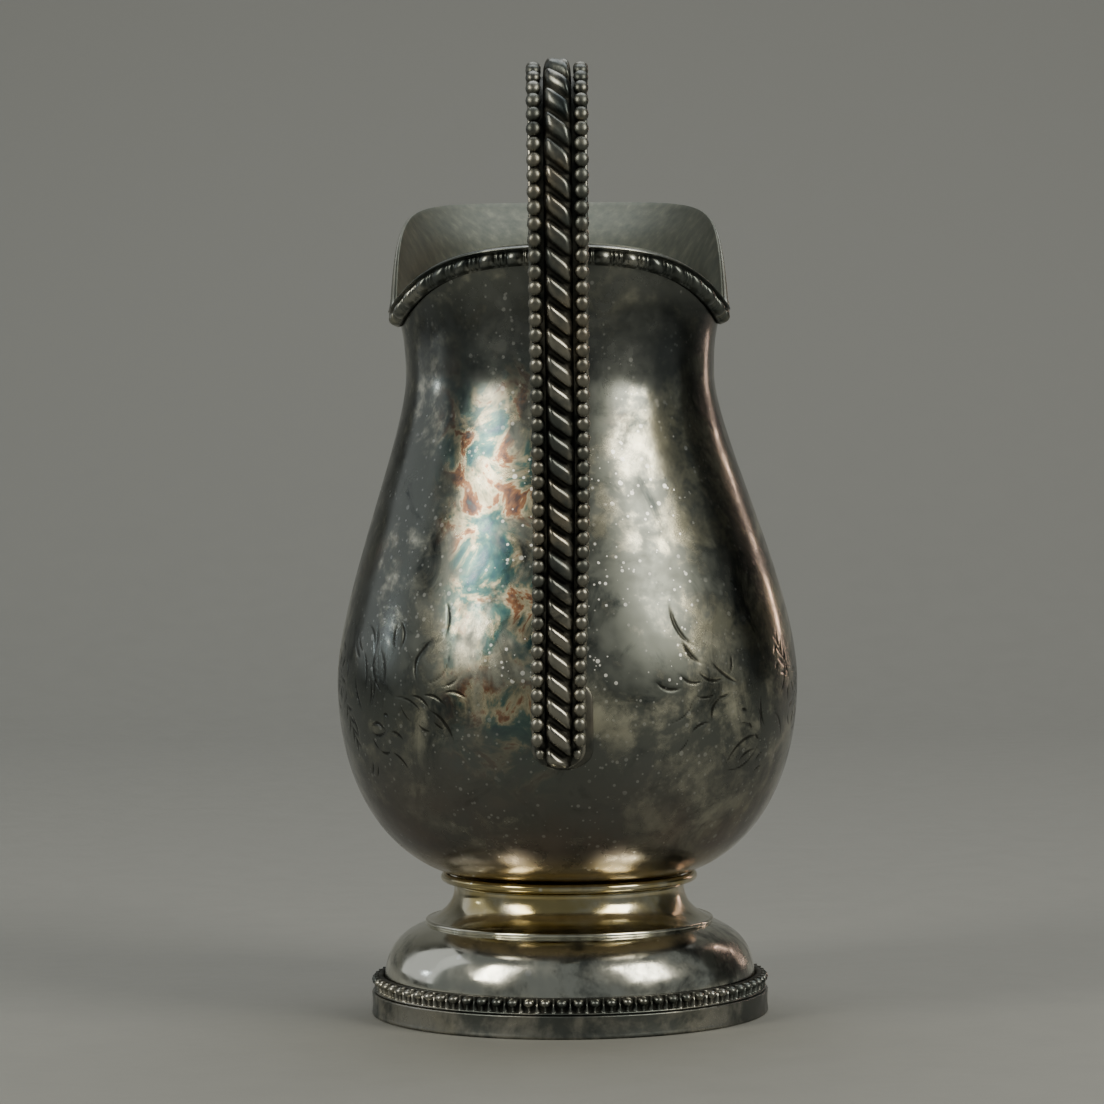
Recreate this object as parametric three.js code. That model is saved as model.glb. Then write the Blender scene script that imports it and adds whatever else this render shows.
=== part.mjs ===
// Cream jug: a pear-shaped silver vessel with a broad pouring lip, on a domed foot, with a high looped handle.
//
// Units are millimetres. +Z is up, +Y points where the lip pours and the handle stands towards -Y.
// The origin is on the surface that the jug stands on, under the middle of its overall box.
// Every piece is a separate solid. Soldered neighbours keep a hairline of SOLDER_GAP between them.

import * as THREE from 'three';
import { mergeVertices } from 'three/addons/utils/BufferGeometryUtils.js';

// Driving dimensions

// Gaps and sheet
const SOLDER_GAP = 0.3;
const WALL = 1.0;

// Foot, measured up from the table
const FOOT_HEIGHT = 22.9;
const FOOT_BASE_RADIUS = 34.3;
const FOOT_BAND_HEIGHT = 3.9;
const FOOT_BAND_THICKNESS = 2.1;
const FOOT_BAND_ROUND = 0.4;
const FOOT_BEADING_HEIGHT = 2.7;
const FOOT_BEADING_DEPTH = 1.9;
const FOOT_DOME_HEIGHT = 15.6;
const FOOT_STEP_RADIUS = 24.6;
const FOOT_STEP_HEIGHT = 0.7;
const FOOT_NECK_RADIUS = 19.9;
const FOOT_FLANGE_RADIUS = 14.0;

// Body, measured up from its own floor
const BOWL_FLOOR_RADIUS = 13.7;
const BELLY_RADIUS = 39.7;
const BELLY_RISE = 34.3;
const NECK_RADIUS = 26.6;
const NECK_RISE = 86.8;

// Rim and lip, measured up from the neck and out from the jug's axis
const RIM_RADIUS = 28.4;
const RIM_BACK_RISE = 21.3;
const RIM_SIDE_RISE = 11.2;
const LIP_RISE = 32.0;
const LIP_REACH = 47.0;
const LIP_SQUARENESS = 2.6;
const LIP_FULLNESS = 2.8;
const RIM_DIP_ROUND = 2.6;
const RIM_BACK_SHOULDER = 1.6;
const RIM_BACK_TURN = 0.66;

// Wires
const WAIST_WIRE_RADIUS = 0.8;
const WAIST_WIRE_OVERHANG = 1.35;
const RIM_MOULDING_HEIGHT = 3.5;
const RIM_MOULDING_DEPTH = 1.8;
const RIM_MOULDING_LEDGE = 0.1;
const RIM_JOINT_GAP = 0.3;

// Handle: heights from the belly or the rim, distances out from the jug's axis
const STRAP_THICKNESS = 1.4;
const STRAP_WIDTH_TOP = 9.6;
const STRAP_WIDTH_BOTTOM = 8.8;
const HANDLE_REACH = 60.5;
const HANDLE_REACH_ABOVE_RIM = 1.3;
const HANDLE_CREST_ABOVE_RIM = 25.3;
const HANDLE_CREST_OUT = 47.0;
const HANDLE_FOOT_BELOW_BELLY = 12.0;
const HANDLE_LEAVES_BELOW_BELLY = 1.0;
const HANDLE_LEAVING_LEAN = 4;
const HANDLE_TOP_BELOW_RIM = 4.5;
const SEAT_THICKNESS = 0.6;
const SEAT_WIDTH = 10.6;
const SEAT_HEIGHT = 15.0;
const ROPE_WIDTH = 4.0;
const ROPE_RISE = 3.2;
const HANDLE_BEAD_DIAMETER = 2.0;

// How finely curved surfaces are cut
const ROUND_SEGMENTS = 48;
const BOWL_ROWS = 10;
const SHOULDER_ROWS = 6;
const FLARE_ROWS = 8;
const RIM_STEPS = 44;
const HANDLE_STEPS = 54;

// Heights that follow from the sizes above
const BOWL_FLOOR_Z = FOOT_HEIGHT + SOLDER_GAP;
const BELLY_Z = BOWL_FLOOR_Z + BELLY_RISE;
const NECK_Z = BOWL_FLOOR_Z + NECK_RISE;
const RIM_BACK_Z = NECK_Z + RIM_BACK_RISE;

const QUARTER_TURN = Math.PI / 2;
const HALF_TURN = Math.PI;
const BACK = Math.PI;

// Materials

function tarnishedSilver(colour, roughness) {
  return new THREE.MeshStandardMaterial({ color: colour, roughness, metalness: 1.0 });
}

const FINISH = {
  body: () => tarnishedSilver(0x6e706e, 0.34),
  foot: () => tarnishedSilver(0x827e74, 0.28),
  wire: () => tarnishedSilver(0x4c4d49, 0.36),
  handle: () => tarnishedSilver(0x3f413f, 0.38),
};

// General helpers

function lerp(from, to, share) {
  return from + (to - from) * share;
}

// A point at a distance and height in the plane that stands at an angle round the jug's axis.
// The angle is 0 under the lip and grows towards +X.
function around(angle, radius, z) {
  return new THREE.Vector3(radius * Math.sin(angle), radius * Math.cos(angle), z);
}

// Joins doubled corners, so that a geometry is one closed body.
function closed(geometry) {
  geometry.deleteAttribute('normal');
  geometry.deleteAttribute('uv');
  const merged = mergeVertices(geometry, 1e-4);
  merged.computeVertexNormals();
  return merged;
}

// A solid of revolution from a closed outline of [radius, height] corners, given anticlockwise.
function turned(corners) {
  const outline = corners.map(([radius, z]) => new THREE.Vector2(radius, z));
  outline.push(outline[0].clone());
  const geometry = new THREE.LatheGeometry(outline, ROUND_SEGMENTS);
  geometry.rotateX(QUARTER_TURN);
  return closed(geometry);
}

// A solid bar of any section along any path. place(share, angle, spread) gives the point at a share of the
// length, an angle round the section and a spread of 0 in the section's middle to 1 on its skin.
function bar(steps, sides, place) {
  const geometry = new THREE.CylinderGeometry(1, 1, 1, sides, steps);
  const position = geometry.attributes.position;
  for (let i = 0; i < position.count; i += 1) {
    const x = position.getX(i);
    const z = position.getZ(i);
    const point = place(position.getY(i) + 0.5, Math.atan2(x, z), Math.hypot(x, z));
    position.setXYZ(i, point.x, point.y, point.z);
  }
  return closed(geometry);
}

// Points along a cubic curve in a [radius, height] plane.
function cubic(from, leaving, arriving, to) {
  return new THREE.CubicBezierCurve(
    new THREE.Vector2(...from),
    new THREE.Vector2(...leaving),
    new THREE.Vector2(...arriving),
    new THREE.Vector2(...to),
  );
}

// Body

// Outline of the bowl, from the edge of its flat floor to the belly.
const BOWL_CURVE = cubic(
  [BOWL_FLOOR_RADIUS, BOWL_FLOOR_Z],
  [BOWL_FLOOR_RADIUS + 0.53 * (BELLY_RADIUS - BOWL_FLOOR_RADIUS), BOWL_FLOOR_Z],
  [BELLY_RADIUS, BELLY_Z - 0.66 * BELLY_RISE],
  [BELLY_RADIUS, BELLY_Z],
);

// Outline of the shoulder, from the belly to the neck.
const SHOULDER_CURVE = cubic(
  [BELLY_RADIUS, BELLY_Z],
  [BELLY_RADIUS, lerp(BELLY_Z, NECK_Z, 0.287)],
  [NECK_RADIUS, lerp(BELLY_Z, NECK_Z, 0.812)],
  [NECK_RADIUS, NECK_Z],
);

// The body's outside radius at a height between its floor and its neck.
function bodyRadius(z) {
  const curve = z < BELLY_Z ? BOWL_CURVE : SHOULDER_CURVE;
  let low = 0;
  let high = 1;
  for (let i = 0; i < 40; i += 1) {
    const middle = (low + high) / 2;
    if (curve.getPoint(middle).y < z) low = middle;
    else high = middle;
  }
  return curve.getPoint(low).x;
}

// The rim's distance from the axis: round behind, drawn out into a broad blunt lip in front.
function rimRadius(angle) {
  const side = Math.abs(Math.sin(angle)) / RIM_RADIUS;
  const front = Math.cos(angle);
  if (front <= 0) return RIM_RADIUS;
  const sum = side ** LIP_SQUARENESS + (front / LIP_REACH) ** LIP_SQUARENESS;
  return sum ** (-1 / LIP_SQUARENESS);
}

// The rim's height over the neck: level at the back, a dip at each side, then a quick rise to the lip.
function rimRise(angle) {
  const fromFront = Math.abs(angle) / QUARTER_TURN;
  const front = (LIP_RISE - RIM_SIDE_RISE) * (1 - fromFront ** LIP_FULLNESS);
  const rear = Math.max(-Math.cos(angle), 0);
  const shoulder = RIM_BACK_SHOULDER * rear * (1 - rear) * (rear - RIM_BACK_TURN);
  const back = (RIM_BACK_RISE - RIM_SIDE_RISE) * (shoulder - Math.cos(angle));
  const blend = Math.hypot(front - back, RIM_DIP_ROUND);
  return RIM_SIDE_RISE + (front + back + blend) / 2;
}

// A point on the outside of the flare between neck (0) and rim (1). Angles run from -PI to PI.
function flarePoint(angle, share) {
  const drawnOut = (1 + Math.cos(angle)) / 2;
  const power = lerp(3.0, 1.9, drawnOut ** 2);
  const radius = NECK_RADIUS + (rimRadius(angle) - NECK_RADIUS) * share ** power;
  return around(angle, radius, NECK_Z + rimRise(angle) * share);
}

// The flare's outward direction, square to its surface.
function flareNormal(angle, share) {
  const step = 1e-3;
  const low = Math.max(share - step, 0);
  const along = flarePoint(angle + step, share).sub(flarePoint(angle - step, share));
  const upward = flarePoint(angle, low + step).sub(flarePoint(angle, low));
  return upward.cross(along).normalize();
}

function flareOffset(angle, share, distance) {
  return flarePoint(angle, share).addScaledVector(flareNormal(angle, share), distance);
}

// The body's outside outline below the neck, from the middle of the floor upwards.
function lowerOutline() {
  const bowl = BOWL_CURVE.getPoints(BOWL_ROWS);
  const shoulder = SHOULDER_CURVE.getPoints(SHOULDER_ROWS).slice(1, -1);
  return [new THREE.Vector2(0, BOWL_FLOOR_Z), ...bowl, ...shoulder];
}

// The same outline moved inwards by the thickness of the sheet.
function lowerLining(outline) {
  return outline.map((point, i) => {
    const before = outline[Math.max(i - 1, 0)];
    const after = outline[Math.min(i + 1, outline.length - 1)];
    const run = after.clone().sub(before).normalize();
    const radius = i === 0 ? 0 : point.x - run.y * WALL;
    return new THREE.Vector2(radius, point.y + run.x * WALL);
  });
}

// The vessel: a turned pot whose flare is then drawn out into the lip.
function bodyShell() {
  const outside = lowerOutline();
  const inside = lowerLining(outside).reverse();
  const shares = Array.from({ length: FLARE_ROWS + 1 }, (_, i) => i / FLARE_ROWS);
  const flare = [
    ...shares.map((share) => ({ share, depth: 0 })),
    ...shares.toReversed().map((share) => ({ share, depth: WALL })),
  ];
  const flareOutline = flare.map(({ share, depth }) => {
    const point = flareOffset(BACK, share, -depth);
    return new THREE.Vector2(-point.y, point.z);
  });
  const outline = [...outside, ...flareOutline, ...inside];
  const geometry = new THREE.LatheGeometry(outline, ROUND_SEGMENTS);
  geometry.rotateX(QUARTER_TURN);
  const position = geometry.attributes.position;
  for (let i = 0; i < position.count; i += 1) {
    const row = flare[(i % outline.length) - outside.length];
    if (row) {
      const angle = Math.atan2(position.getX(i), position.getY(i));
      const point = flareOffset(angle, row.share, -row.depth);
      position.setXYZ(i, point.x, point.y, point.z);
    }
  }
  return closed(geometry);
}

// Rim moulding

// The moulding's section: how far out it stands at a share of its height, 0 at its foot and 1 on the edge.
function mouldingDepth(share) {
  return RIM_MOULDING_DEPTH * Math.sqrt(Math.max(1 - (2 * share - 1) ** 4, 0.04));
}

// One length of moulding, from behind the handle round one side to the tip of the lip.
// side is 1 towards +X and -1 towards -X.
function rimMoulding(side) {
  const gapAngle = RIM_JOINT_GAP / 2 / RIM_RADIUS;
  return bar(RIM_STEPS, 8, (share, turn, spread) => {
    const angle = side * lerp(gapAngle, HALF_TURN - gapAngle, side > 0 ? 1 - share : share);
    const upShare = 0.5 + 0.5 * spread * Math.max(-1, Math.min(1, Math.cos(turn) * Math.SQRT2));
    const outShare = 0.5 + 0.5 * spread * Math.max(-1, Math.min(1, Math.sin(turn) * Math.SQRT2));
    const rise = flarePoint(angle, 1).distanceTo(flarePoint(angle, 0.9)) * 10;
    const along = 1 - ((1 - upShare) * RIM_MOULDING_HEIGHT - RIM_MOULDING_LEDGE) / rise;
    return flareOffset(angle, along, SOLDER_GAP + outShare * mouldingDepth(upShare));
  });
}

// Foot

function waistRing() {
  const centre = FOOT_NECK_RADIUS + WAIST_WIRE_OVERHANG;
  const corners = Array.from({ length: 8 }, (_, i) => {
    const turn = ((i + 0.5) / 8) * 2 * Math.PI;
    return [
      centre + WAIST_WIRE_RADIUS * Math.cos(turn),
      BOWL_FLOOR_Z + WAIST_WIRE_RADIUS * Math.sin(turn),
    ];
  });
  return turned(corners);
}

// The radius that the dome ends at, just inside the beading on the band.
const DOME_RADIUS = FOOT_BASE_RADIUS - FOOT_BEADING_DEPTH - SOLDER_GAP;
const DOME_FOOT_Z = FOOT_BAND_HEIGHT + SOLDER_GAP;

// Hollow spun foot: a turned-in flange, a hollow neck, a small step and a dome, open underneath.
function footShell() {
  const stepZ = FOOT_DOME_HEIGHT + FOOT_STEP_HEIGHT;
  const neckZ = FOOT_HEIGHT - WALL;
  const neck = cubic(
    [FOOT_NECK_RADIUS, neckZ],
    [FOOT_NECK_RADIUS, lerp(neckZ, stepZ, 0.45)],
    [lerp(FOOT_NECK_RADIUS, FOOT_STEP_RADIUS, 0.3), lerp(neckZ, stepZ, 0.8)],
    [FOOT_STEP_RADIUS, stepZ],
  );
  const dome = cubic(
    [FOOT_STEP_RADIUS + 0.3, FOOT_DOME_HEIGHT],
    [lerp(FOOT_STEP_RADIUS, DOME_RADIUS, 0.65), lerp(DOME_FOOT_Z, FOOT_DOME_HEIGHT, 0.84)],
    [DOME_RADIUS, lerp(DOME_FOOT_Z, FOOT_DOME_HEIGHT, 0.62)],
    [DOME_RADIUS, DOME_FOOT_Z],
  );
  const outside = [...dome.getPoints(6).reverse(), ...neck.getPoints(4).reverse()];
  const lining = outside.map((point) => [point.x - WALL, point.y]).reverse();
  const liningUnderFlange = lining.map(([radius, z]) => [radius, Math.min(z, FOOT_HEIGHT - 1.6 * WALL)]);
  return turned([
    ...outside.map((point) => [point.x, point.y]),
    [FOOT_NECK_RADIUS, FOOT_HEIGHT],
    [FOOT_FLANGE_RADIUS, FOOT_HEIGHT],
    [FOOT_FLANGE_RADIUS, FOOT_HEIGHT - 1.6 * WALL],
    ...liningUnderFlange,
  ]);
}

// Plain upright band that the jug stands on, with a ledge inside for the dome.
function footBand() {
  const inner = FOOT_BASE_RADIUS - FOOT_BAND_THICKNESS;
  const ledge = DOME_RADIUS - 2 * WALL;
  return turned([
    [inner, 0],
    [FOOT_BASE_RADIUS - FOOT_BAND_ROUND, 0],
    [FOOT_BASE_RADIUS, FOOT_BAND_ROUND],
    [FOOT_BASE_RADIUS, FOOT_BAND_HEIGHT],
    [ledge, FOOT_BAND_HEIGHT],
    [ledge, FOOT_BAND_HEIGHT - WALL],
    [inner, FOOT_BAND_HEIGHT - WALL],
  ]);
}

// The border wire that stands on the band, round the dome.
function footBeading() {
  const middle = FOOT_BASE_RADIUS - FOOT_BEADING_DEPTH / 2;
  const corners = Array.from({ length: 8 }, (_, i) => {
    const turn = ((i + 0.5) / 8) * 2 * Math.PI;
    return [
      middle + (FOOT_BEADING_DEPTH / 2) * Math.cos(turn),
      DOME_FOOT_Z + FOOT_BEADING_HEIGHT * (0.5 + 0.5 * Math.sin(turn)),
    ];
  });
  return turned(corners);
}

// Handle

// How far the strap's middle stands from the belly where it is soldered on.
const STRAP_STAND_OFF = 2 * SOLDER_GAP + 0.1 + SEAT_THICKNESS + STRAP_THICKNESS / 2;

// How far the strap's middle stands from the rim, with the rope laid against the rim moulding.
const STRAP_RIM_STAND_OFF = RIM_MOULDING_DEPTH + ROPE_RISE + 3 * SOLDER_GAP + 0.1 + STRAP_THICKNESS / 2;

// A point on the handle's line, at a distance behind the axis.
function behind(radius, z) {
  return new THREE.Vector3(0, -radius, z);
}

// The line that the middle of the strap follows, from its lower end on the belly, up and out, over the crest
// and down to the back of the rim.
function handleLine() {
  const footZ = BELLY_Z - HANDLE_FOOT_BELOW_BELLY;
  const leaveZ = BELLY_Z - HANDLE_LEAVES_BELOW_BELLY;
  const foot = behind(bodyRadius(footZ) + STRAP_STAND_OFF, footZ);
  const leave = behind(bodyRadius(leaveZ) + STRAP_STAND_OFF, leaveZ);
  const outer = behind(HANDLE_REACH, RIM_BACK_Z + HANDLE_REACH_ABOVE_RIM);
  const crest = behind(HANDLE_CREST_OUT, RIM_BACK_Z + HANDLE_CREST_ABOVE_RIM);
  const landing = flareOffset(BACK, 1, STRAP_RIM_STAND_OFF);
  const top = flareOffset(BACK, 1 - HANDLE_TOP_BELOW_RIM / RIM_BACK_RISE, STRAP_RIM_STAND_OFF);
  const upward = landing.clone().sub(top).normalize();
  const climb = outer.z - leave.z;
  const over = crest.z - outer.z;
  const drop = crest.z - landing.z;
  const lean = THREE.MathUtils.degToRad(HANDLE_LEAVING_LEAN);
  const leaving = leave.clone().add(behind(Math.sin(lean), Math.cos(lean)).multiplyScalar(0.42 * climb));
  const hug = leave.z - foot.z;
  const line = new THREE.CurvePath();
  line.add(new THREE.CubicBezierCurve3(
    foot,
    behind(-foot.y + 0.09 * hug, foot.z + 0.35 * hug),
    leave.clone().sub(behind(Math.sin(lean), Math.cos(lean)).multiplyScalar(0.35 * hug)),
    leave,
  ));
  line.add(new THREE.CubicBezierCurve3(leave, leaving, behind(HANDLE_REACH, outer.z - 0.33 * climb), outer));
  line.add(new THREE.CubicBezierCurve3(
    outer,
    behind(HANDLE_REACH, outer.z + 0.6 * over),
    behind(lerp(HANDLE_CREST_OUT, HANDLE_REACH, 0.55), crest.z),
    crest,
  ));
  line.add(new THREE.CubicBezierCurve3(
    crest,
    behind(lerp(HANDLE_CREST_OUT, -landing.y, 0.6), crest.z),
    landing.clone().addScaledVector(upward, 0.5 * drop),
    landing,
  ));
  line.add(new THREE.LineCurve3(landing, top));
  return line;
}

const HANDLE_LINE = handleLine();
const SIDEWAYS = new THREE.Vector3(1, 0, 0);

// The strap's width at a share of the handle's length: it widens from its foot up to the crest.
function strapWidth(share) {
  return lerp(STRAP_WIDTH_BOTTOM, STRAP_WIDTH_TOP, Math.min(share / 0.75, 1));
}

// A point beside the handle's line: across to +X, and out from the strap's middle.
function onHandle(share, across, out) {
  const tangent = HANDLE_LINE.getTangentAt(share);
  const outward = new THREE.Vector3().crossVectors(SIDEWAYS, tangent);
  return HANDLE_LINE.getPointAt(share).addScaledVector(SIDEWAYS, across).addScaledVector(outward, out);
}

// A bar of round or oval section that runs on the strap's outer face.
function handleWire(width, height, acrossAt) {
  const middle = STRAP_THICKNESS / 2 + SOLDER_GAP + height / 2;
  return bar(HANDLE_STEPS, 8, (share, turn, spread) => onHandle(
    share,
    acrossAt(share) + (width / 2) * spread * Math.sin(turn),
    middle + (height / 2) * spread * Math.cos(turn),
  ));
}

function handleStrap() {
  const square = (value) => Math.sign(value) * Math.min(Math.abs(value) * 1.3, 1);
  return bar(HANDLE_STEPS, 8, (share, turn, spread) => onHandle(
    share,
    (strapWidth(share) / 2) * spread * square(Math.sin(turn)),
    (STRAP_THICKNESS / 2) * spread * square(Math.cos(turn)),
  ));
}

function handleRope() {
  return handleWire(ROPE_WIDTH, ROPE_RISE, () => 0);
}

function handleBead(side) {
  const inset = HANDLE_BEAD_DIAMETER / 2;
  return handleWire(
    HANDLE_BEAD_DIAMETER,
    HANDLE_BEAD_DIAMETER,
    (share) => side * (strapWidth(share) / 2 - inset),
  );
}

// Thin plate between the belly and the strap's lower end, bent to the belly.
function handleLowerSeat() {
  const footZ = BELLY_Z - HANDLE_FOOT_BELOW_BELLY - 0.5;
  return bar(8, 8, (share, turn, spread) => {
    const z = footZ + share * SEAT_HEIGHT;
    const across = (SEAT_WIDTH / 2) * spread * Math.max(-1, Math.min(1, Math.sin(turn) * Math.SQRT2));
    const outShare = 0.5 + 0.5 * spread * Math.max(-1, Math.min(1, Math.cos(turn) * Math.SQRT2));
    const radius = bodyRadius(z) + SOLDER_GAP + SEAT_THICKNESS * outShare;
    return around(BACK - across / radius, radius, z);
  });
}

// Assembly

function piece(name, geometry, material) {
  const mesh = new THREE.Mesh(geometry, material);
  mesh.name = name;
  return mesh;
}

const jug = new THREE.Group();
jug.name = 'cream_jug';
jug.add(
  piece('body_shell', bodyShell(), FINISH.body()),
  piece('rim_moulding_left', rimMoulding(-1), FINISH.wire()),
  piece('rim_moulding_right', rimMoulding(1), FINISH.wire()),
  piece('waist_ring', waistRing(), FINISH.foot()),
  piece('foot_shell', footShell(), FINISH.foot()),
  piece('foot_band', footBand(), FINISH.foot()),
  piece('foot_beading', footBeading(), FINISH.wire()),
  piece('handle_strap', handleStrap(), FINISH.handle()),
  piece('handle_rope', handleRope(), FINISH.handle()),
  piece('handle_bead_left', handleBead(-1), FINISH.handle()),
  piece('handle_bead_right', handleBead(1), FINISH.handle()),
  piece('handle_lower_seat', handleLowerSeat(), FINISH.handle()),
);

// The origin stands under the middle of the jug's box, so the axis moves a little towards the lip.
const box = new THREE.Box3().setFromObject(jug);
jug.position.y = -(box.min.y + box.max.y) / 2;

export default jug;
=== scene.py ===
"""Looks of a tarnished silver cream jug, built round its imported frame.

The jug is a pear-shaped vessel on a domed foot. A bead-and-reel moulding borders its rim, a bead-and-dart
wire borders its foot, and its looped strap handle carries a rope moulding between two rows of beads.
Flowers are bright-cut into both sides of the belly. Lengths in the shape classes are millimetres, with
the jug's own axis as origin: +Z is up, +Y runs out under the lip and the handle stands towards -Y.
"""

import logging
import math
from dataclasses import dataclass, field
from enum import Enum
from typing import Sequence

import bmesh
import bpy
import numpy as np
from mathutils import Matrix, Vector


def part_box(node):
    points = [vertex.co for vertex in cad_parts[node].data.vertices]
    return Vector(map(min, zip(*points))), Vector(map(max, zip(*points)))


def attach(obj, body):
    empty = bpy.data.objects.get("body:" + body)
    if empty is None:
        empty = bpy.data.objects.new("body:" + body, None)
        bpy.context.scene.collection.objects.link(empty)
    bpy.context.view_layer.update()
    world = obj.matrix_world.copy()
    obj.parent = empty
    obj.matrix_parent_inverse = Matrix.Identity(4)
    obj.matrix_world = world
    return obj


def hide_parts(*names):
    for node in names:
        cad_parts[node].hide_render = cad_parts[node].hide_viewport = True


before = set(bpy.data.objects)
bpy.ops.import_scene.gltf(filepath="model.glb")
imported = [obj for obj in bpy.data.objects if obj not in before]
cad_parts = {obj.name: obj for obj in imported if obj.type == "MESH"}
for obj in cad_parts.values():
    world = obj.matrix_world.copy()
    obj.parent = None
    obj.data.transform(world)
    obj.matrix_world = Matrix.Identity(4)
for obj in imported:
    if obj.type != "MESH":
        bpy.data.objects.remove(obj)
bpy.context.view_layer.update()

LOG = logging.getLogger("cream_jug")

MM = 0.001
QUARTER_TURN = math.pi / 2
FULL_TURN = 2 * math.pi
WELD_DISTANCE = 1e-7
ROOT_BODY = "root"
SIDE_NAME = {-1: "left", 1: "right"}

Array = np.ndarray
Spot = tuple[float, float]
Triple = tuple[float, float, float]
Colour = Triple
MATT = (0.52, 0.52, 0.52)


class Slot(Enum):
    """The record's material slots."""

    BODY = "body_silver"
    FOOT = "foot_silver"
    BAND = "band_silver"
    RIM = "rim_silver"
    HANDLE = "handle_silver"


# --------------------------------------------------------------------------------------------------
# Small helpers
# --------------------------------------------------------------------------------------------------


def lerp(low: float, high: float, share: float | Array) -> float | Array:
    """Blend from low to high by a share."""
    return low + (high - low) * share


def smooth_step(low: float, high: float, value: Array) -> Array:
    """Rise smoothly from 0 at low to 1 at high."""
    share = np.clip((value - low) / (high - low), 0, 1)
    return share * share * (3 - 2 * share)


def half_round(offset: Array, half_width: float | Array) -> Array:
    """Height, from 0 to 1, of a half-round moulding at an offset from its middle."""
    return np.sqrt(np.clip(1 - (offset / half_width) ** 2, 0, 1))


def bezier(corners: Sequence[Sequence[float]], count: int) -> Array:
    """Sample a cubic curve.

    Args:
        corners: Four control points.
        count: How many points to return, both ends among them.

    Returns:
        The points, one per row.
    """
    p = np.array(corners, float)
    t = np.linspace(0, 1, count)[:, None]
    return (1 - t) ** 3 * p[0] + 3 * (1 - t) ** 2 * t * p[1] + 3 * (1 - t) * t**2 * p[2] + t**3 * p[3]


def around_axis(radius: Array | float, height: Array, turn: Array) -> Array:
    """Place points round the jug's axis.

    Args:
        radius: Distances from the axis.
        height: Heights.
        turn: Angles, 0 under the lip and growing towards +X.

    Returns:
        The points; the three inputs are spread over each other's rows and columns.
    """
    radius, height, turn = np.broadcast_arrays(radius, height, turn)
    return np.stack([radius * np.sin(turn), radius * np.cos(turn), height], axis=-1)


def arc(radius: float, height: float, size: float, turn: Array) -> Array:
    """Return (radius, height) rows on a round of some size whose middle is at a radius and a height."""
    return np.stack([radius + size * np.cos(turn), height + size * np.sin(turn)], axis=-1)


def length_along(line: Array) -> Array:
    """Return how far each point of a line is from its start, along the line."""
    return np.concatenate([[0], np.cumsum(np.linalg.norm(np.diff(line, axis=0), axis=1))])


def squared(wave: Array, softness: float) -> Array:
    """Blunt a sine or cosine, so that a round section becomes a bar with soft corners."""
    return np.sign(wave) * np.abs(wave) ** softness


def wrapped(angle: Array) -> Array:
    """Bring angles to between minus and plus half a turn."""
    return (angle + math.pi) % FULL_TURN - math.pi


def centre_of(node: str) -> Vector:
    """Return the middle of a CAD node's box, in metres."""
    low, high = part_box(node)
    return (low + high) / 2


def size_of(node: str) -> Vector:
    """Return the size of a CAD node's box, in millimetres."""
    low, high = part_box(node)
    return (high - low) / MM


AXIS_Y = centre_of("foot_band").y
LEAN = 0.85
LEAN_STARTS, LEAN_ENDS = 66.0, 116.0


def in_scene(points: Array) -> Array:
    """Move points from the jug's own axis to the shared frame.

    The neck was drawn a little to one side as the jug was raised, so it leans towards -X.

    Args:
        points: Points in millimetres from the jug's axis.

    Returns:
        The points in metres.
    """
    lean = LEAN * smooth_step(LEAN_STARTS, LEAN_ENDS, points[..., 2])
    moved = points * MM + np.array([0.0, AXIS_Y, 0.0])
    moved[..., 0] -= lean * MM
    return moved


def grid_mesh(name: str, rows: Array, close_across: bool = True, capped: bool = False) -> bpy.types.Object:
    """Make a smooth mesh from a grid of points.

    Args:
        name: Name of the new object.
        rows: Points in millimetres from the jug's axis, of shape (rows, columns, 3).
        close_across: Whether the last column joins the first.
        capped: Whether to close the first and the last row with one face each.

    Returns:
        The new object, linked to the scene, in metres in the shared frame.
    """
    count, across, _ = rows.shape
    index = np.arange(count * across).reshape(count, across)
    right = np.roll(index, -1, axis=1)
    if not close_across:
        index, right = index[:, :-1], right[:, :-1]
    quads = np.stack([index[:-1], right[:-1], right[1:], index[1:]], axis=-1).reshape(-1, 4)
    faces: list[Sequence[int]] = [tuple(quad) for quad in quads.tolist()]
    if capped:
        faces.append(tuple(range(across - 1, -1, -1)))
        faces.append(tuple(range((count - 1) * across, count * across)))
    points = in_scene(rows.reshape(-1, 3))
    mesh = bpy.data.meshes.new(name)
    mesh.from_pydata(points.tolist(), [], faces)
    mesh.polygons.foreach_set("use_smooth", np.ones(len(mesh.polygons), bool))
    mesh.update()
    piece = bpy.data.objects.new(name, mesh)
    bpy.context.scene.collection.objects.link(piece)
    return piece


def turn_outward(piece: bpy.types.Object, weld: bool = False) -> None:
    """Make all faces of a closed piece look outwards.

    Args:
        piece: The piece.
        weld: Whether points that lie on each other are joined first.
    """
    work = bmesh.new()
    work.from_mesh(piece.data)
    if weld:
        bmesh.ops.remove_doubles(work, verts=work.verts, dist=WELD_DISTANCE)
    bmesh.ops.recalc_face_normals(work, faces=work.faces)
    if work.calc_volume(signed=True) < 0:
        bmesh.ops.reverse_faces(work, faces=work.faces)
    work.to_mesh(piece.data)
    work.free()


def store(piece: bpy.types.Object, name: str, values: Array) -> None:
    """Keep one number per vertex on a piece, for its material to read."""
    attribute = piece.data.attributes.new(name, "FLOAT", "POINT")
    attribute.data.foreach_set("value", values.astype(np.float32).ravel())


def install(piece: bpy.types.Object, material: bpy.types.Material, slot: Slot, *nodes: str) -> None:
    """Dress a finished piece and tie it to the frame.

    Args:
        piece: The piece, in place.
        material: Its finish.
        slot: The record's slot that the finish stands for; not used.
        nodes: The CAD nodes that it stands for.
    """
    piece.data.materials.append(material)
    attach(piece, ROOT_BODY)
    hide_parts(*nodes)
    LOG.info("%s: %d faces", piece.name, len(piece.data.polygons))


# --------------------------------------------------------------------------------------------------
# Shape of the vessel
# --------------------------------------------------------------------------------------------------


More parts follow.
